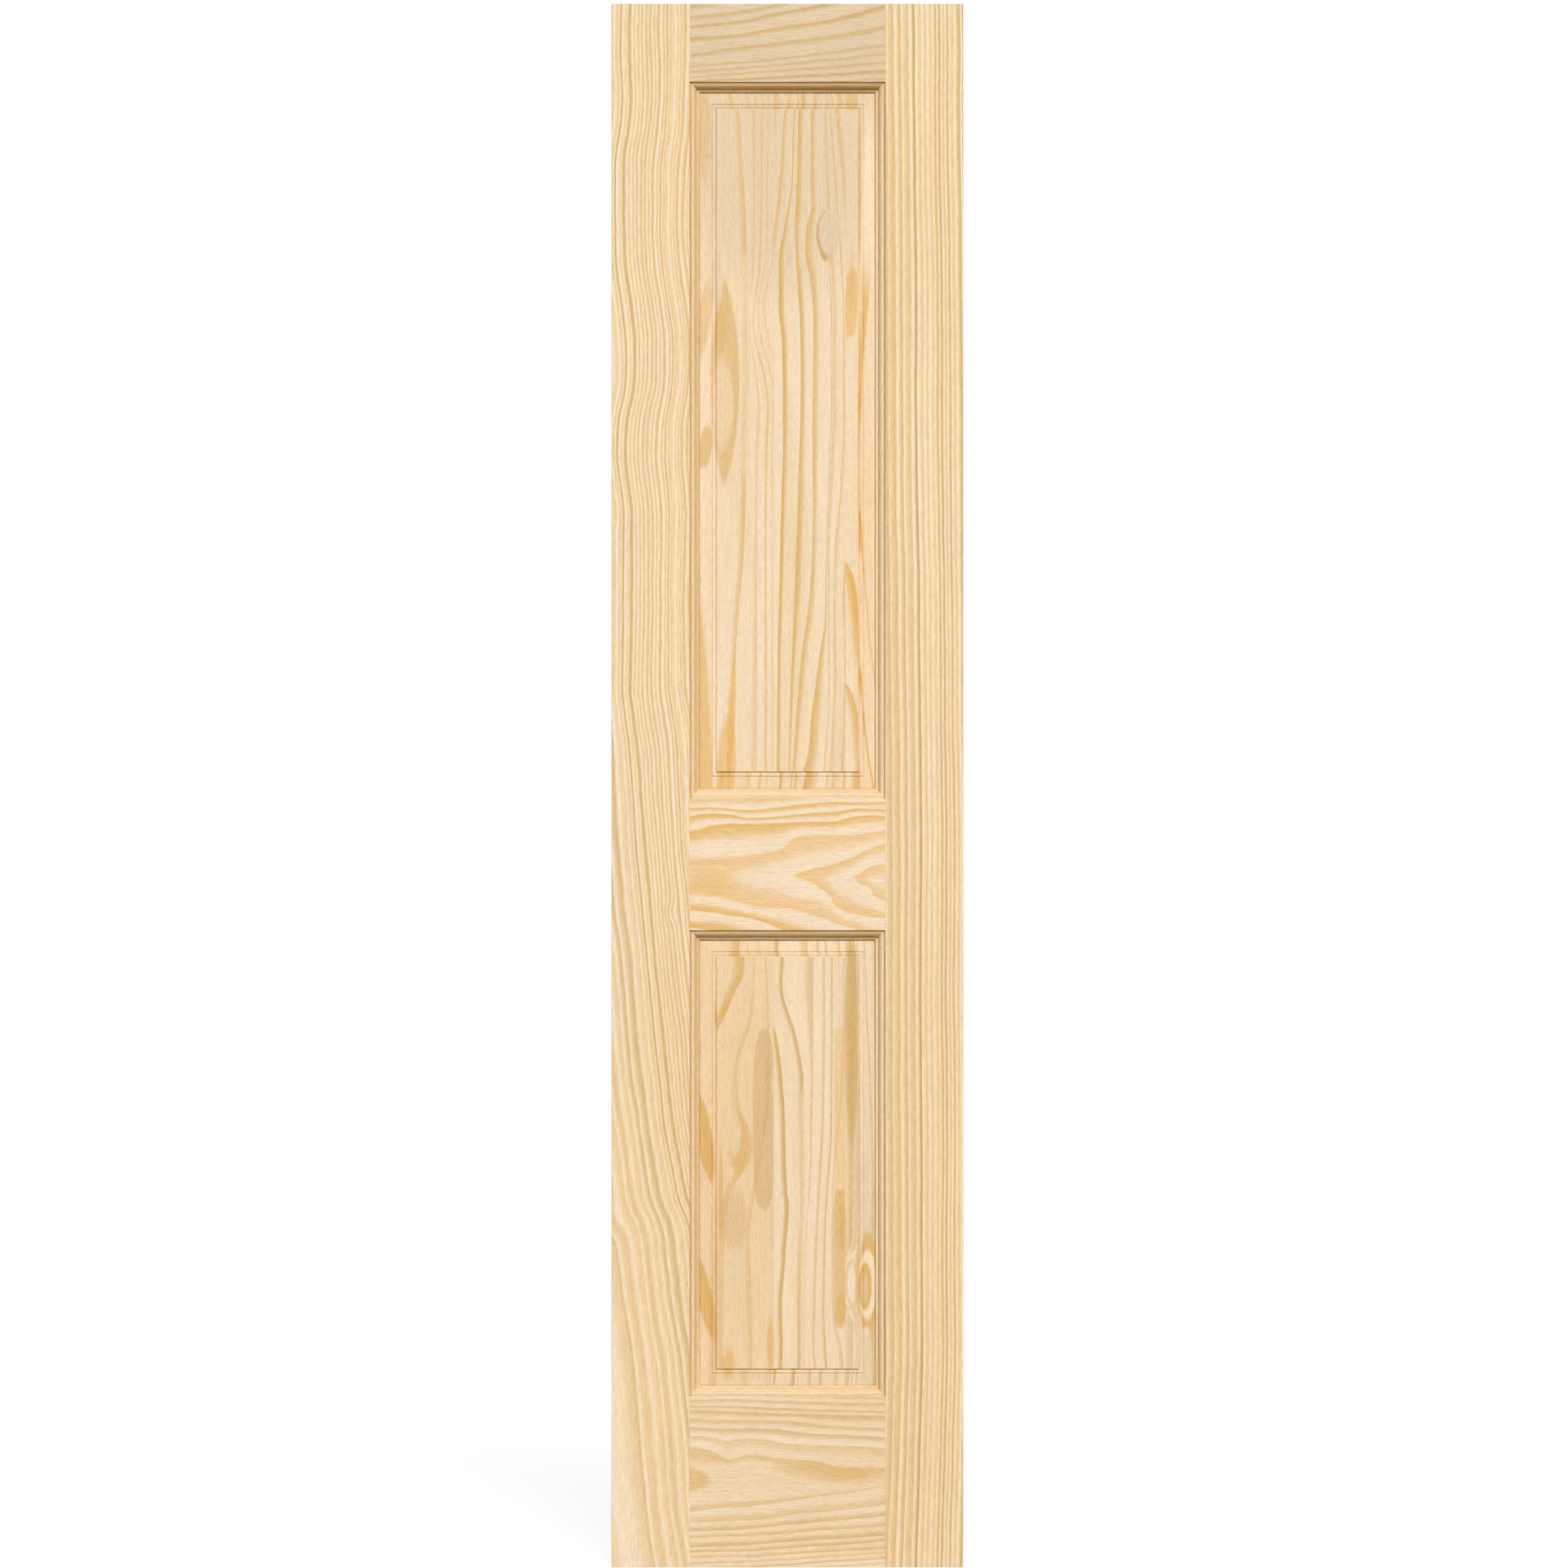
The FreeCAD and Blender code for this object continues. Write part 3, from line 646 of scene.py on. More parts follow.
# Pine, planed and sanded: pale early wood shades slowly into amber late wood and ends sharply at each ring,
# fine fibres and resin ducts run along the grain, and the late wood stands a little proud and shinier.
# Real fibres and ducts are far finer: these are drawn as fine as a view of the whole leaf can show.
FIBRES = Streaks(60.0, 1.6, 0.0, 2.0)
SPECKS = Streaks(10.0, 1.3, 3.0, 1.0)      # short ends of fibres that sanding cuts across
DUCTS = Streaks(9.0, 0.9, 9.0, 0.0)        # resin ducts, about four times too wide
CASTS = Streaks(420.0, 38.0, 40.0, 1.0)    # where the early wood goes from one cast to the other
RAGS = Streaks(60.0, 3.0, 20.0, 3.0)       # fibres that carry the edge of a patch
RAG_ALONG = 34.0         # mm that they carry it along the grain
RAG_ACROSS = 2.5         # mm that they carry it across the grain
NOISE_RANGE = {"From Min": 0.3, "From Max": 0.7}
FIBRE_TONES = {"To Min": 0.935, "To Max": 1.045}
SPECK_TONES = {"To Min": 0.912, "To Max": 1.072}
DUCT_RANGE = {"From Min": 0.74, "From Max": 0.84, "To Max": 0.35}
CAST_RANGE = {"From Min": 0.32, "From Max": 0.68}
END_GRAIN_RANGE = {"From Min": 0.8, "From Max": 0.95}    # how squarely a face cuts across the grain
WANDER_DETAIL = 2.5
WANDER_ROUGHNESS = 0.45
WANDER_ALONG = 1.5       # how much further the rings wander along the grain than across it
EARLY_PART = 0.35        # part of a year in which early wood is drawn
RING_BLEND = 0.04        # years over which one ring's strength gives way to the next one's
RING_MEETING = 0.12      # years over which the rings above and below an arch run together
RING_SEED = 7.3          # sets the tones of one board's rings apart from another's
RING_START = 0.12        # share of late wood just past the sharp edge of a ring
PALEST_RING = 0.6        # share of the contrast that the palest ring keeps
UNEVEN_SCALE = 0.6       # changes of width to a ring, where rings are uneven
PATCH_DEPTH = 15.0       # mm into the board that a bow or patch reaches
STEP_DEPTH = 2.0         # mm from the field of a panel to the top of its hip, where the saw met other rings
EARLY_TO_LATE_ROUGHNESS = {"To Min": 0.62, "To Max": 0.5}
SPECULAR = 0.35
GRAIN_RELIEF = 0.06 * MM
RELIEF_STRENGTH = 0.6
LATE_RELIEF = 0.6        # height of late wood as a share of a fibre's


def streaked(tree, board, spot, pattern):
    """The outputs of a noise that is drawn out along a board's grain."""
    scale = along_axis(board, 1 / pattern.length, 1 / pattern.width)
    drawn_out = add(tree, "VectorMath", {0: spot, 1: scale}, operation="MULTIPLY")[0]
    return add(tree, "TexNoise", {"Vector": drawn_out, "W": board.seed + pattern.seed, "Scale": 1.0,
                                  "Detail": pattern.detail, "Roughness": pattern.roughness},
               noise_dimensions="4D")


def swung(tree, board, spot, pattern):
    """A vector that swings to both sides of nothing, as streaks do."""
    noise = streaked(tree, board, spot, pattern)["Color"]
    return add(tree, "VectorMath", {0: noise, 1: (0.5, 0.5, 0.5)}, operation="SUBTRACT")[0]


def seen_from(tree, board, spot, mark):
    """A place as a bow or patch sees it, with its middle at 0 and its edges at 1."""
    return add(tree, "Mapping", {
        "Vector": spot, "Location": (mark.x, board.face, mark.z),
        "Rotation": (0.0, math.radians(mark.lean), 0.0),
        "Scale": (mark.half_width, PATCH_DEPTH, mark.half_height)}, vector_type="TEXTURE")[0]


def drawn_curve(tree, value, points, handle):
    """A value looked up on a curve through points."""
    looked_up = add(tree, "FloatCurve", {"Value": value})[0]
    mapping = looked_up.node.mapping
    mapping.use_clip = False
    curve = mapping.curves[0]
    curve.points[0].location = points[0]
    curve.points[1].location = points[-1]
    for point in points[1:-1]:
        curve.points.new(*point)
    for point in curve.points:
        point.handle_type = handle
    mapping.update()
    return looked_up


def grown_years(tree, lines, across, lengthwise):
    """The year in which each point grew, counted from the first line, with late wood in its last part."""
    before = drawn_curve(tree, lengthwise, lines[0].points, "AUTO_CLAMPED")
    year = 0.0
    for line in lines[1:]:
        edge = drawn_curve(tree, lengthwise, line.points, "AUTO_CLAMPED")
        if line.years > 1:
            part = add(tree, "MapRange", {"Value": across, "From Min": before, "From Max": edge,
                                          "To Max": float(line.years)})[0]
        else:
            ring = add(tree, "Math", {0: before, 1: edge}, operation="SUBTRACT")[0]
            start = add(tree, "Math", {0: ring, 1: line.late, 2: edge}, operation="MULTIPLY_ADD")[0]
            early = add(tree, "MapRange", {"Value": across, "From Min": before, "From Max": start,
                                           "To Max": EARLY_PART})[0]
            late = add(tree, "MapRange", {"Value": across, "From Min": start, "From Max": edge,
                                          "To Max": 1.0 - EARLY_PART})[0]
            part = add(tree, "Math", {0: early, 1: late}, operation="ADD")[0]
        year = add(tree, "Math", {0: part, 1: year}, operation="ADD")[0]
        before = edge
    return year


def ring_strengths(tree, lines, year):
    """How dark the late wood of each year is."""
    points = []
    count = 0
    for line in lines[1:]:
        points.append((count + RING_BLEND, line.strength))
        count += line.years
        points.append((count - RING_BLEND, line.strength))
    return drawn_curve(tree, year, points, "VECTOR")


def pine_rings(tree, board, spot):
    """Where each point lies once the grain is straightened, how far it is through its year's ring, how dark
    its late wood is, and a value for each ring."""
    wander = Streaks(board.wander_length, board.wander_width, 0.0, WANDER_DETAIL, WANDER_ROUGHNESS)
    swing = along_axis(board, board.wander * WANDER_ALONG, board.wander)
    bent = add(tree, "VectorMath", {0: swung(tree, board, spot, wander), 1: swing, 2: spot},
               operation="MULTIPLY_ADD")[0]
    sideways = along_axis(board, 0.0, 1.0)
    across = add(tree, "VectorMath", {0: bent, 1: (sideways[0], board.depth_shift, sideways[2])},
                 operation="DOT_PRODUCT")["Value"]
    across = add(tree, "Math", {0: across, 1: -board.depth_shift * board.face}, operation="ADD")[0]
    if board.step_shift:
        depth = add(tree, "VectorMath", {0: spot, 1: (0.0, 1.0, 0.0)}, operation="DOT_PRODUCT")["Value"]
        depth = add(tree, "Math", {0: depth}, operation="ABSOLUTE")[0]
        stepped = add(tree, "MapRange", {"Value": depth, "From Min": -board.face,
                                         "From Max": -board.face - STEP_DEPTH,
                                         "To Max": board.step_shift})[0]
        across = add(tree, "Math", {0: across, 1: stepped}, operation="ADD")[0]
    for bow in board.bows:
        near = seen_from(tree, board, spot, bow)
        fall = add(tree, "VectorMath", {0: near, 1: near}, operation="DOT_PRODUCT")["Value"]
        swell = add(tree, "Math", {0: math.exp(-1), 1: fall}, operation="POWER")[0]
        across = add(tree, "Math", {0: swell, 1: bow.push, 2: across}, operation="MULTIPLY_ADD")[0]
    lengthwise = add(tree, "VectorMath", {0: bent, 1: along_axis(board, 1.0, 0.0)},
                     operation="DOT_PRODUCT")["Value"]
    year = grown_years(tree, board.lines, across, lengthwise)
    if board.below:
        lower = grown_years(tree, board.below, across, lengthwise)
        year = add(tree, "Math", {0: year, 1: lower, 2: RING_MEETING}, operation="SMOOTH_MAX")[0]
    strength = ring_strengths(tree, board.lines, year)
    if board.uneven:
        width = add(tree, "TexNoise", {"W": year, "Scale": UNEVEN_SCALE, "Detail": 1.0},
                    noise_dimensions="1D")["Fac"]
        year = add(tree, "Math", {0: width, 1: board.uneven, 2: year}, operation="MULTIPLY_ADD")[0]
    through = add(tree, "Math", {0: year}, operation="FRACT")[0]
    number = add(tree, "Math", {0: year}, operation="FLOOR")[0]
    varied = add(tree, "Math", {0: number, 1: board.seed * RING_SEED}, operation="ADD")[0]
    differs = add(tree, "TexWhiteNoise", {"W": varied}, noise_dimensions="1D")["Value"]
    return bent, through, strength, differs


def late_share(tree, board, through, strength, differs):
    """How much of each point is late wood."""
    ramped = add(tree, "ValToRGB", {"Fac": through})[0]
    ramp = ramped.node.color_ramp
    ramp.interpolation = "EASE"
    ramp.elements[0].position = 0.0
    ramp.elements[0].color = opaque((RING_START,) * 3)
    ramp.elements.remove(ramp.elements[1])
    for position, value in board.ramp:
        ramp.elements.new(position).color = opaque((value,) * 3)
    weight = add(tree, "MapRange", {"Value": differs, "To Min": PALEST_RING * board.contrast,
                                    "To Max": board.contrast})[0]
    weight = add(tree, "Math", {0: weight, 1: strength}, operation="MULTIPLY")[0]
    return add(tree, "Math", {0: ramped, 1: weight}, operation="MULTIPLY")[0]


def patched(tree, board, shade, patches, bent, colours):
    """A colour with patches of other tones laid over it in turn."""
    if not patches:
        return shade
    rag = swung(tree, board, bent, RAGS)
    for patch in patches:
        reach = along_axis(board, RAG_ALONG * patch.ragged, RAG_ACROSS * patch.ragged)
        ragged = add(tree, "VectorMath", {0: rag, 1: reach, 2: bent}, operation="MULTIPLY_ADD")[0]
        near = seen_from(tree, board, ragged, patch)
        apart = add(tree, "VectorMath", {0: near}, operation="ABSOLUTE")[0]
        apart = add(tree, "VectorMath", {0: apart, 1: (patch.form[0], 2.0, patch.form[1])},
                    operation="POWER")[0]
        away = add(tree, "VectorMath", {0: apart, 1: (1.0, 1.0, 1.0)}, operation="DOT_PRODUCT")["Value"]
        sidelong = add(tree, "VectorMath", {0: near, 1: (1.0, 0.0, 0.0)}, operation="DOT_PRODUCT")["Value"]
        full = add(tree, "MapRange", {"Value": sidelong, "From Min": -1.0, "To Min": 1.0 - patch.soft[0],
                                      "To Max": 1.0 - patch.soft[1]})[0]
        share = add(tree, "MapRange", {"Value": away, "From Min": 1.0, "From Max": full,
                                       "To Max": patch.strength}, interpolation_type="SMOOTHSTEP")[0]
        tone = opaque(getattr(colours, patch.tone))
        shade = add(tree, "Mix", {"Factor": share, COLOUR_A: shade, COLOUR_B: tone},
                    data_type="RGBA")[MIXED_COLOUR]
    return shade


def pine(name, colours):
    """The material of one board of sanded pine."""
    board = BOARDS[name]
    early_one, early_two, late_one, late_two = [opaque(getattr(colours, tone)) for tone in board.tones]
    material = bpy.data.materials.new("sanded_pine_" + name)
    tree = empty_tree(material)
    place = add(tree, "TexCoord")["Object"]
    spot = add(tree, "VectorMath", {0: place, "Scale": 1 / MM}, operation="SCALE")[0]
    bent, through, strength, differs = pine_rings(tree, board, spot)
    late = late_share(tree, board, through, strength, differs)

    cast = streaked(tree, board, spot, CASTS)["Fac"]
    cast = add(tree, "MapRange", {"Value": cast, **CAST_RANGE})[0]
    early_tone = add(tree, "Mix", {"Factor": cast, COLOUR_A: early_one, COLOUR_B: early_two},
                     data_type="RGBA")[MIXED_COLOUR]
    early_tone = patched(tree, board, early_tone, board.casts, bent, colours)
    late_tone = add(tree, "Mix", {"Factor": differs, COLOUR_A: late_one, COLOUR_B: late_two},
                    data_type="RGBA")[MIXED_COLOUR]
    shade = add(tree, "Mix", {"Factor": late, COLOUR_A: early_tone, COLOUR_B: late_tone},
                data_type="RGBA")[MIXED_COLOUR]
    shade = patched(tree, board, shade, board.patches, bent, colours)

    speck = streaked(tree, board, spot, SPECKS)["Fac"]
    fibre = streaked(tree, board, spot, FIBRES)["Fac"]
    for noise, tones in ((speck, SPECK_TONES), (fibre, FIBRE_TONES)):
        tone = add(tree, "MapRange", {"Value": noise, **NOISE_RANGE, **tones})[0]
        shade = add(tree, "VectorMath", {0: shade, "Scale": tone}, operation="SCALE")[0]
    duct = streaked(tree, board, spot, DUCTS)["Fac"]
    duct = add(tree, "MapRange", {"Value": duct, **DUCT_RANGE})[0]
    shade = add(tree, "Mix", {"Factor": duct, COLOUR_A: shade, COLOUR_B: opaque(colours.resin)},
                data_type="RGBA")[MIXED_COLOUR]

    facing = add(tree, "TexCoord")["Normal"]
    end_on = add(tree, "VectorMath", {0: facing, 1: along_axis(board, 1.0, 0.0)},
                 operation="DOT_PRODUCT")["Value"]
    end_on = add(tree, "Math", {0: end_on}, operation="ABSOLUTE")[0]
    end_on = add(tree, "MapRange", {"Value": end_on, **END_GRAIN_RANGE})[0]
    shade = add(tree, "Mix", {"Factor": end_on, COLOUR_A: shade, COLOUR_B: opaque(colours.end_grain)},
                data_type="RGBA", blend_type="MULTIPLY")[MIXED_COLOUR]

    rough = add(tree, "MapRange", {"Value": late, **EARLY_TO_LATE_ROUGHNESS})[0]
    height = add(tree, "Math", {0: late, 1: LATE_RELIEF, 2: fibre}, operation="MULTIPLY_ADD")[0]
    relief = add(tree, "Bump", {"Strength": RELIEF_STRENGTH, "Distance": GRAIN_RELIEF,
                                "Height": height})["Normal"]
    surface = add(tree, "BsdfPrincipled", {"Base Color": shade, "Roughness": rough, "Normal": relief,
                                           "Specular IOR Level": SPECULAR})[0]
    add(tree, "OutputMaterial", {"Surface": surface})
    return material


# Beech, turned: close, even wood with short dark rays along it
RAY_LENGTH = 4 * MM
RAY_WIDTH = 0.6 * MM
RAY_RANGE = {"From Min": 0.55, "From Max": 0.75, "To Max": 0.5}
BEECH_ROUGHNESS = 0.5


def beech(colours):
    """The material of the turned dowels."""
    material = bpy.data.materials.new("turned_beech")
    tree = empty_tree(material)
    place = add(tree, "TexCoord")["Object"]
    spot = add(tree, "VectorMath", {0: place, 1: (1 / RAY_LENGTH, 1 / RAY_WIDTH, 1 / RAY_WIDTH)},
               operation="MULTIPLY")[0]
    rays = add(tree, "TexNoise", {"Vector": spot, "Scale": 1.0, "Detail": 1.0})["Fac"]
    rays = add(tree, "MapRange", {"Value": rays, **RAY_RANGE})[0]
    shade = add(tree, "Mix", {"Factor": rays, COLOUR_A: opaque(colours.beech),
                              COLOUR_B: opaque(colours.resin)}, data_type="RGBA")[MIXED_COLOUR]
    surface = add(tree, "BsdfPrincipled", {"Base Color": shade, "Roughness": BEECH_ROUGHNESS})[0]
    add(tree, "OutputMaterial", {"Surface": surface})
    return material


# Shapes

SHARP = math.radians(22)
COPLANAR = math.radians(0.2)
SAME_POINT = 0.001 * MM
PANEL_FALL = 0.04 * MM    # how far each flat of a panel falls towards its tongue
ARRIS_STEPS = 5           # facets round a stile's outer edge, and round a joint
JOINT_STEPS = 3


def stack(levels):
    """A closed solid through rectangles (y, x0, x1, z0, z1), with its corners kept sharp."""
    shape = bmesh.new()
    rings = []
    for y, x0, x1, z0, z1 in levels:
        corners = ((x0, z0), (x1, z0), (x1, z1), (x0, z1))
        rings.append([shape.verts.new((x, y, z)) for x, z in corners])
    shape.faces.new(rings[0])
    shape.faces.new(reversed(rings[-1]))
    for ring, following in zip(rings, rings[1:]):
        for corner in range(4):
            beside = (corner + 1) % 4
            shape.faces.new((ring[corner], following[corner], following[beside], ring[beside]))
            shape.edges.get((ring[corner], following[corner])).smooth = False
    bmesh.ops.recalc_face_normals(shape, faces=shape.faces)
    bmesh.ops.dissolve_limit(shape, angle_limit=COPLANAR, verts=shape.verts, edges=shape.edges)
    for edge in shape.edges:
        if edge.calc_face_angle(0.0) > SHARP:
            edge.smooth = False
    for face in shape.faces:
        face.smooth = True
    return shape


def place_piece(shape, node, material):
    """Puts a finished shape in the scene for its CAD node, on the leaf's body."""
    mesh = bpy.data.meshes.new(node)
    shape.to_mesh(mesh)
    shape.free()
    mesh.materials.append(material)
    piece = bpy.data.objects.new(node + "_dressed", mesh)
    bpy.context.scene.collection.objects.link(piece)
    even = piece.modifiers.new("flat faces stay flat", "WEIGHTED_NORMAL")
    even.keep_sharp = True
    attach(piece, BODY)
    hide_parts(node)


def mirrored(half):
    """A profile of (inset, depth) points from the face to the middle, and on to the other face."""
    return [(inset, -depth) for inset, depth in half] + [(inset, depth) for inset, depth in reversed(half)]


def round_off(radius, inset, depth, steps=3):
    """Points of a quarter round that turns from the flat at depth into the wall at inset."""
    turns = [math.pi / 2 * step / steps for step in range(steps + 1)]
    return [(inset + radius * (1 - math.sin(turn)), depth - radius * (1 - math.cos(turn)))
            for turn in turns]


def moulding_profile(sizes):
    """The section of a moulded strip, as (inset from the lip, depth) points from the front to the back."""
    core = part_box("left_stile_moulded_strip")[1].y
    ledge = core - sizes.ledge_depth
    ovolo_start = sizes.width - sizes.ledge_width
    fillet_width = ovolo_start - sizes.ovolo_radius
    fillet = ledge - sizes.ovolo_radius
    groove = fillet - sizes.lip_thickness
    half = [(sizes.width, core), (sizes.width, ledge - sizes.ledge_fall)]
    for step in range(sizes.ovolo_steps + 1):
        turn = math.pi / 2 * step / sizes.ovolo_steps
        fall = (sizes.ovolo_radius - 2 * sizes.flat_fall) * (1 - math.cos(turn))
        half.append((ovolo_start - sizes.ovolo_radius * math.sin(turn), ledge - sizes.flat_fall - fall))
    half.append((fillet_width, fillet + sizes.flat_fall))
    half += round_off(sizes.lip_round, 0.0, fillet)
    half.append((0.0, groove))
    half.append((sizes.groove_depth, groove - sizes.flat_fall))
    points = [half[0]]
    for point in half[1:]:
        if (Vector(point) - Vector(points[-1])).length > SAME_POINT:
            points.append(point)
    return mirrored(points)


def panel_profile(sizes):
    """The section of a raised panel, as (inset from the lip, depth) points from the front to the back."""
    hip_top = sizes.tongue_half + sizes.hip_rise
    shelf = hip_top + sizes.shelf_step
    field = shelf + sizes.field_step
    shelf_edge = sizes.hip_width + sizes.shelf_run
    field_edge = sizes.hip_width + sizes.shelf_width
    quirk = sizes.quirk_width
    field_foot = field_edge - sizes.field_run
    slope = sizes.hip_rise * quirk / sizes.hip_width
    gap_foot = sizes.tongue_half - sizes.gap_depth
    half = round_off(sizes.edge_round, field_edge, field)
    half.append((field_foot, shelf - sizes.quirk_depth))
    half.append((field_foot - quirk, shelf - PANEL_FALL))
    half += round_off(sizes.edge_round, shelf_edge, shelf - 2 * PANEL_FALL)
    half.append((sizes.hip_width, hip_top - sizes.quirk_depth))
    half.append((sizes.hip_width - quirk, hip_top - slope))
    half.append((quirk, sizes.tongue_half + slope))
    half.append((quirk / 2, gap_foot))
    half.append((0.0, gap_foot - PANEL_FALL))
    half.append((-sizes.tongue_reach, gap_foot - 2 * PANEL_FALL))
    return mirrored(half)


def eased_veneer(node, side, radii):
    """A face veneer whose outer edges are rounded by radii for low x, high x, low z and high z."""
    low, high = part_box(node)
    glued, face = (high.y, low.y) if side < 0 else (low.y, high.y)
    largest = max(radii)
    rises = {largest * math.sin(math.pi / 2 * step / ARRIS_STEPS) for step in range(ARRIS_STEPS + 1)}
    smallest = min(radii)
    rises |= {largest - smallest + smallest * math.sin(math.pi / 2 * step / JOINT_STEPS)
              for step in range(JOINT_STEPS + 1)}
    levels = [(glued, low.x, high.x, low.z, high.z)]
    for rise in sorted(rises):
        depth = largest - rise
        cuts = [radius - math.sqrt(max(0.0, radius ** 2 - (radius - depth) ** 2)) if depth < radius else 0.0
                for radius in radii]
        levels.append((face - side * depth, low.x + cuts[0], high.x - cuts[1], low.z + cuts[2],
                       high.z - cuts[3]))
    return stack(levels)


# Operators, one for each group of pieces and one for the stage

class DOOR_OT_face_veneers(Operator):
    """Make the pine veneers on both faces of the stiles and rails"""
    bl_idname = "door.face_veneers"
    bl_label = "Face Veneers"

    def execute(self, context):
        settings = context.scene.pine_door
        arris, joint = settings.edges.arris, settings.edges.joint
        for name, outward in SIDES:
            material = pine(name + "_stile", settings.colours)
            radii = (arris, joint, joint, joint) if outward < 0 else (joint, arris, joint, joint)
            for face, side in FACES:
                node = f"{name}_stile_{face}_veneer"
                place_piece(eased_veneer(node, side, radii), node, material)
        for rail in RAILS:
            material = pine(rail, settings.colours)
            for face, side in FACES:
                node = f"{rail}_{face}_veneer"
                place_piece(eased_veneer(node, side, (joint,) * 4), node, material)
        return {"FINISHED"}


class DOOR_OT_moulded_strips(Operator):
    """Make the moulded strips that hold the panels, with the rails' ends coped over the stiles"""
    bl_idname = "door.moulded_strips"
    bl_label = "Moulded Strips"

    def execute(self, context):
        settings = context.scene.pine_door
        profile = moulding_profile(settings.moulding)
        upright = pine("stile_mould", settings.colours)
        for name, outward in SIDES:
            node = name + "_stile_moulded_strip"
            low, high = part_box(node)
            levels = []
            for inset, y in profile:
                x0 = low.x if outward < 0 else low.x + inset
                x1 = high.x - inset if outward < 0 else high.x
                levels.append((y, x0, x1, low.z, high.z))
            place_piece(stack(levels), node, upright)
        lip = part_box("right_stile_moulded_strip")[0].x
        # Painted shade for the strips that face down, and painted light for those that face up
        woods = {-1: pine("downward_mould_painted_shade", settings.colours), 1: pine("upward_mould_painted_light", settings.colours)}
        for name, upward in LYING_STRIPS:
            node = name + "_moulded_strip"
            low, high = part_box(node)
            levels = []
            for inset, y in profile:
                reach = lip + inset
                z0 = low.z if upward > 0 else low.z + inset
                z1 = high.z - inset if upward > 0 else high.z
                levels.append((y, -reach, reach, z0, z1))
            place_piece(stack(levels), node, woods[upward])
        return {"FINISHED"}


class DOOR_OT_raised_panels(Operator):
    """Make the raised and fielded panels, each glued up from three staves"""
    bl_idname = "door.raised_panels"
    bl_label = "Raised Panels"

    def execute(self, context):
        settings = context.scene.pine_door
        reach = settings.panel.tongue_reach
        profile = panel_profile(settings.panel)
        for panel in PANELS:
            for stave in STAVES:
                node = f"{panel}_{stave}_stave"
                low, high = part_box(node)
                levels = []
                for inset, y in profile:
                    cut = inset + reach
                    x0 = low.x + cut if stave == "left" else low.x
                    x1 = high.x - cut if stave == "right" else high.x
                    levels.append((y, x0, x1, low.z + cut, high.z - cut))
                place_piece(stack(levels), node, pine(f"{panel}_{stave}", settings.colours))
        return {"FINISHED"}


class DOOR_OT_core_finish(Operator):
    """Give the core, the edge strips and the dowels their wood"""
    bl_idname = "door.core_finish"
    bl_label = "Core and Edge Strips"

    def execute(self, context):
        colours = context.scene.pine_door.colours
        woods = {ending: pine(ending, colours) for ending in ("stile_core", "rail_core", "edge_strip")}
        woods["rail_dowels"] = beech(colours)
        for node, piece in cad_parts.items():
            for ending, material in woods.items():
                if node.endswith(ending):
                    piece.data.materials.clear()
                    piece.data.materials.append(material)
        return {"FINISHED"}


PHOTO_SIZE = 1932.0          # pixels, both ways
PHOTO_DOOR_TOP = 4.6         # pixel rows of the leaf's top and bottom
PHOTO_DOOR_BOTTOM = 1931.0
PHOTO_DOOR_CENTRE = 970.2    # pixel column of its middle
SENSOR = 36.0                # mm
FLOOR_GAP = 0.5 * MM         # keeps the floor clear of the leaf's foot


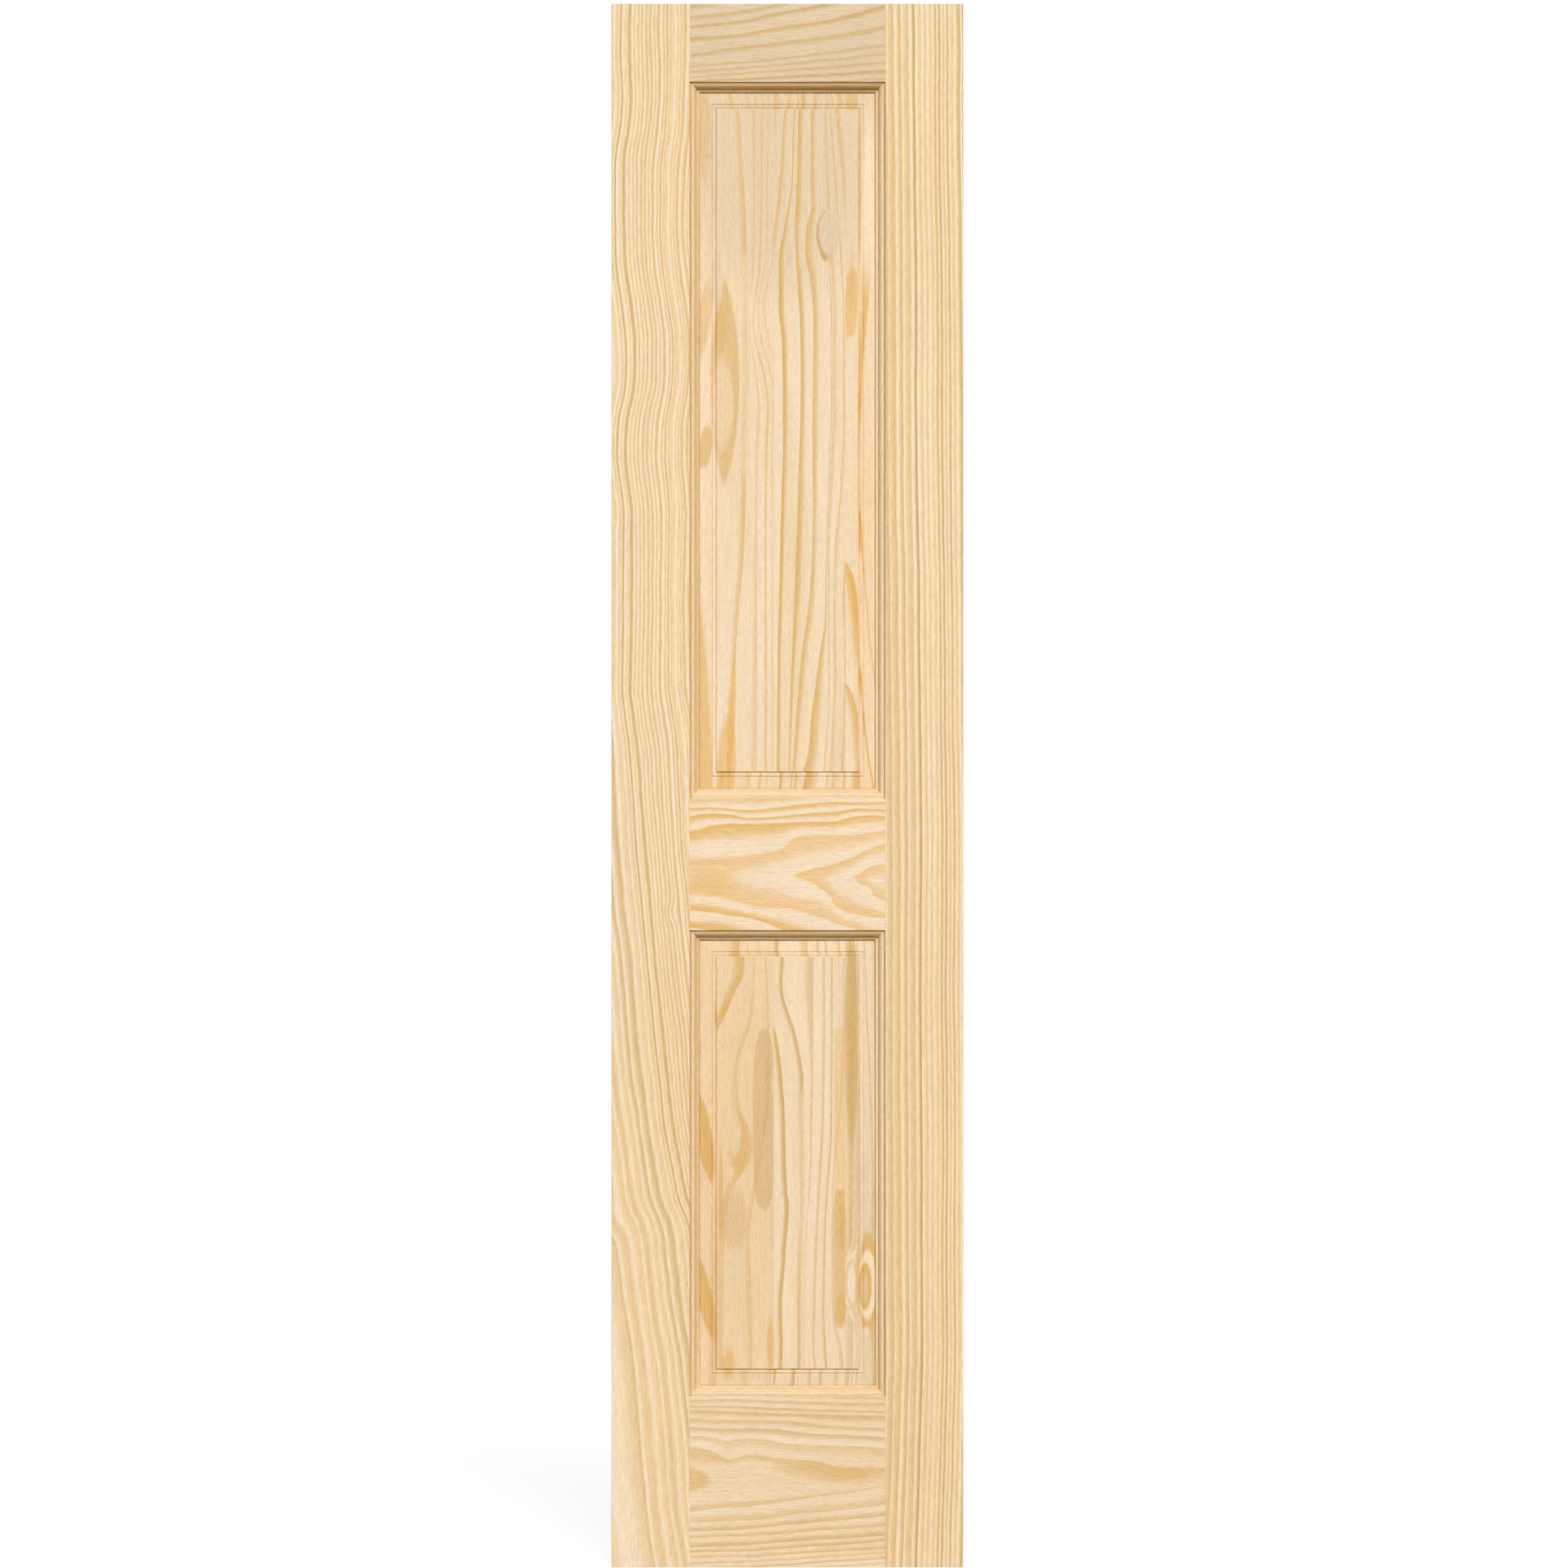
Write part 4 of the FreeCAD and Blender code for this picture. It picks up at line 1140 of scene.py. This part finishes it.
class DOOR_OT_stage(Operator):
    """Make the floor, the white surround, the lamps and the camera"""
    bl_idname = "door.stage"
    bl_label = "Stage"

    def execute(self, context):
        scene = context.scene
        stage = scene.pine_door.stage
        scene.view_settings.view_transform = "Standard"
        self.add_floor(scene, stage)
        self.add_surround(scene, stage)
        self.add_lamp(scene, stage, "key", stage.key_strength, stage.key_side)
        self.add_lamp(scene, stage, "back", stage.back_strength, math.pi + stage.key_side)
        self.add_camera(scene, stage)
        return {"FINISHED"}

    def add_floor(self, scene, stage):
        """A floor of matt white paint: it takes the leaf's shadow softly and is white all round it."""
        shape = bmesh.new()
        bmesh.ops.create_grid(shape, x_segments=1, y_segments=1, size=stage.floor_size / 2)
        mesh = bpy.data.meshes.new("floor")
        shape.to_mesh(mesh)
        shape.free()
        material = bpy.data.materials.new("matt_white_floor")
        tree = empty_tree(material)
        seen = self.seen(tree)
        shade = add(tree, "Mix", {"Factor": seen, COLOUR_A: opaque(stage.floor_bounce),
                                  COLOUR_B: opaque(stage.floor_seen)}, data_type="RGBA")[MIXED_COLOUR]
        matt = add(tree, "BsdfDiffuse", {"Color": shade})[0]
        shine = add(tree, "MapRange", {"Value": seen, "To Max": stage.floor_glow})[0]
        glow = add(tree, "Emission", {"Color": WHITE, "Strength": shine})[0]
        surface = add(tree, "AddShader", {0: matt, 1: glow})[0]
        add(tree, "OutputMaterial", {"Surface": surface})
        mesh.materials.append(material)
        floor = bpy.data.objects.new("floor", mesh)
        floor.location.z = LEAF_LOW.z - FLOOR_GAP
        scene.collection.objects.link(floor)

    def seen(self, tree):
        """1 for rays from the camera, straight, mirrored or through glass, and 0 for the rest."""
        path = add(tree, "LightPath")
        direct = add(tree, "Math", {0: path["Is Camera Ray"], 1: path["Is Glossy Ray"]},
                     operation="MAXIMUM")[0]
        return add(tree, "Math", {0: direct, 1: path["Is Transmission Ray"]}, operation="MAXIMUM")[0]

    def add_surround(self, scene, stage):
        """A surround that looks white and lights the leaf as a pale sky does."""
        world = bpy.data.worlds.new("white surround")
        tree = empty_tree(world)
        strength = add(tree, "MapRange", {"Value": self.seen(tree), "To Min": stage.sky, "To Max": 1.0})[0]
        light = add(tree, "Background", {"Color": WHITE, "Strength": strength})[0]
        add(tree, "OutputWorld", {"Surface": light})
        scene.world = world

    def add_lamp(self, scene, stage, name, strength, turn):
        """A broad lamp as high as the key lamp, turned round the leaf."""
        lamp = bpy.data.lights.new(name, "SUN")
        lamp.energy = strength
        lamp.angle = stage.key_spread
        holder = bpy.data.objects.new(name, lamp)
        holder.rotation_euler = (math.pi / 2 - stage.key_height, 0.0, turn)
        scene.collection.objects.link(holder)

    def add_camera(self, scene, stage):
        """A camera that frames the leaf as the photo does."""
        pixel = (LEAF_HIGH.z - LEAF_LOW.z) / (PHOTO_DOOR_BOTTOM - PHOTO_DOOR_TOP)
        data = bpy.data.cameras.new("camera")
        data.sensor_width = SENSOR
        data.lens = SENSOR * stage.distance / (PHOTO_SIZE * pixel)
        camera = bpy.data.objects.new("camera", data)
        half = PHOTO_SIZE / 2
        middle = (LEAF_LOW.x + LEAF_HIGH.x) / 2
        camera.location = (middle + (half - PHOTO_DOOR_CENTRE) * pixel, LEAF_LOW.y - stage.distance,
                           LEAF_LOW.z + (PHOTO_DOOR_BOTTOM - half) * pixel)
        camera.rotation_euler = (math.pi / 2, 0.0, 0.0)
        scene.collection.objects.link(camera)
        scene.camera = camera


class DOOR_PT_sidebar(Panel):
    """Lists the door's operators and settings"""
    bl_idname = "DOOR_PT_sidebar"
    bl_label = "Pine Door"
    bl_space_type = "VIEW_3D"
    bl_region_type = "UI"
    bl_category = "Pine Door"

    def draw(self, context):
        settings = context.scene.pine_door
        for operator in OPERATORS:
            self.layout.operator(operator.bl_idname)
        for group in (settings.moulding, settings.panel, settings.edges, settings.colours, settings.stage):
            box = self.layout.box()
            for name in group.__annotations__:
                box.prop(group, name)


GROUPS = (DoorMouldingSizes, DoorPanelSizes, DoorEdgeSizes, DoorColours, DoorStageSizes, DoorSettings)
OPERATORS = (DOOR_OT_face_veneers, DOOR_OT_moulded_strips, DOOR_OT_raised_panels, DOOR_OT_core_finish,
             DOOR_OT_stage)
CLASSES = (*GROUPS, *OPERATORS, DOOR_PT_sidebar)


def register():
    for cls in CLASSES:
        bpy.utils.register_class(cls)
    bpy.types.Scene.pine_door = PointerProperty(type=DoorSettings)


def unregister():
    del bpy.types.Scene.pine_door
    for cls in reversed(CLASSES):
        bpy.utils.unregister_class(cls)


def main():
    register()
    bpy.ops.door.face_veneers()
    bpy.ops.door.moulded_strips()
    bpy.ops.door.raised_panels()
    bpy.ops.door.core_finish()
    bpy.ops.door.stage()


if __name__ == "__main__":
    main()
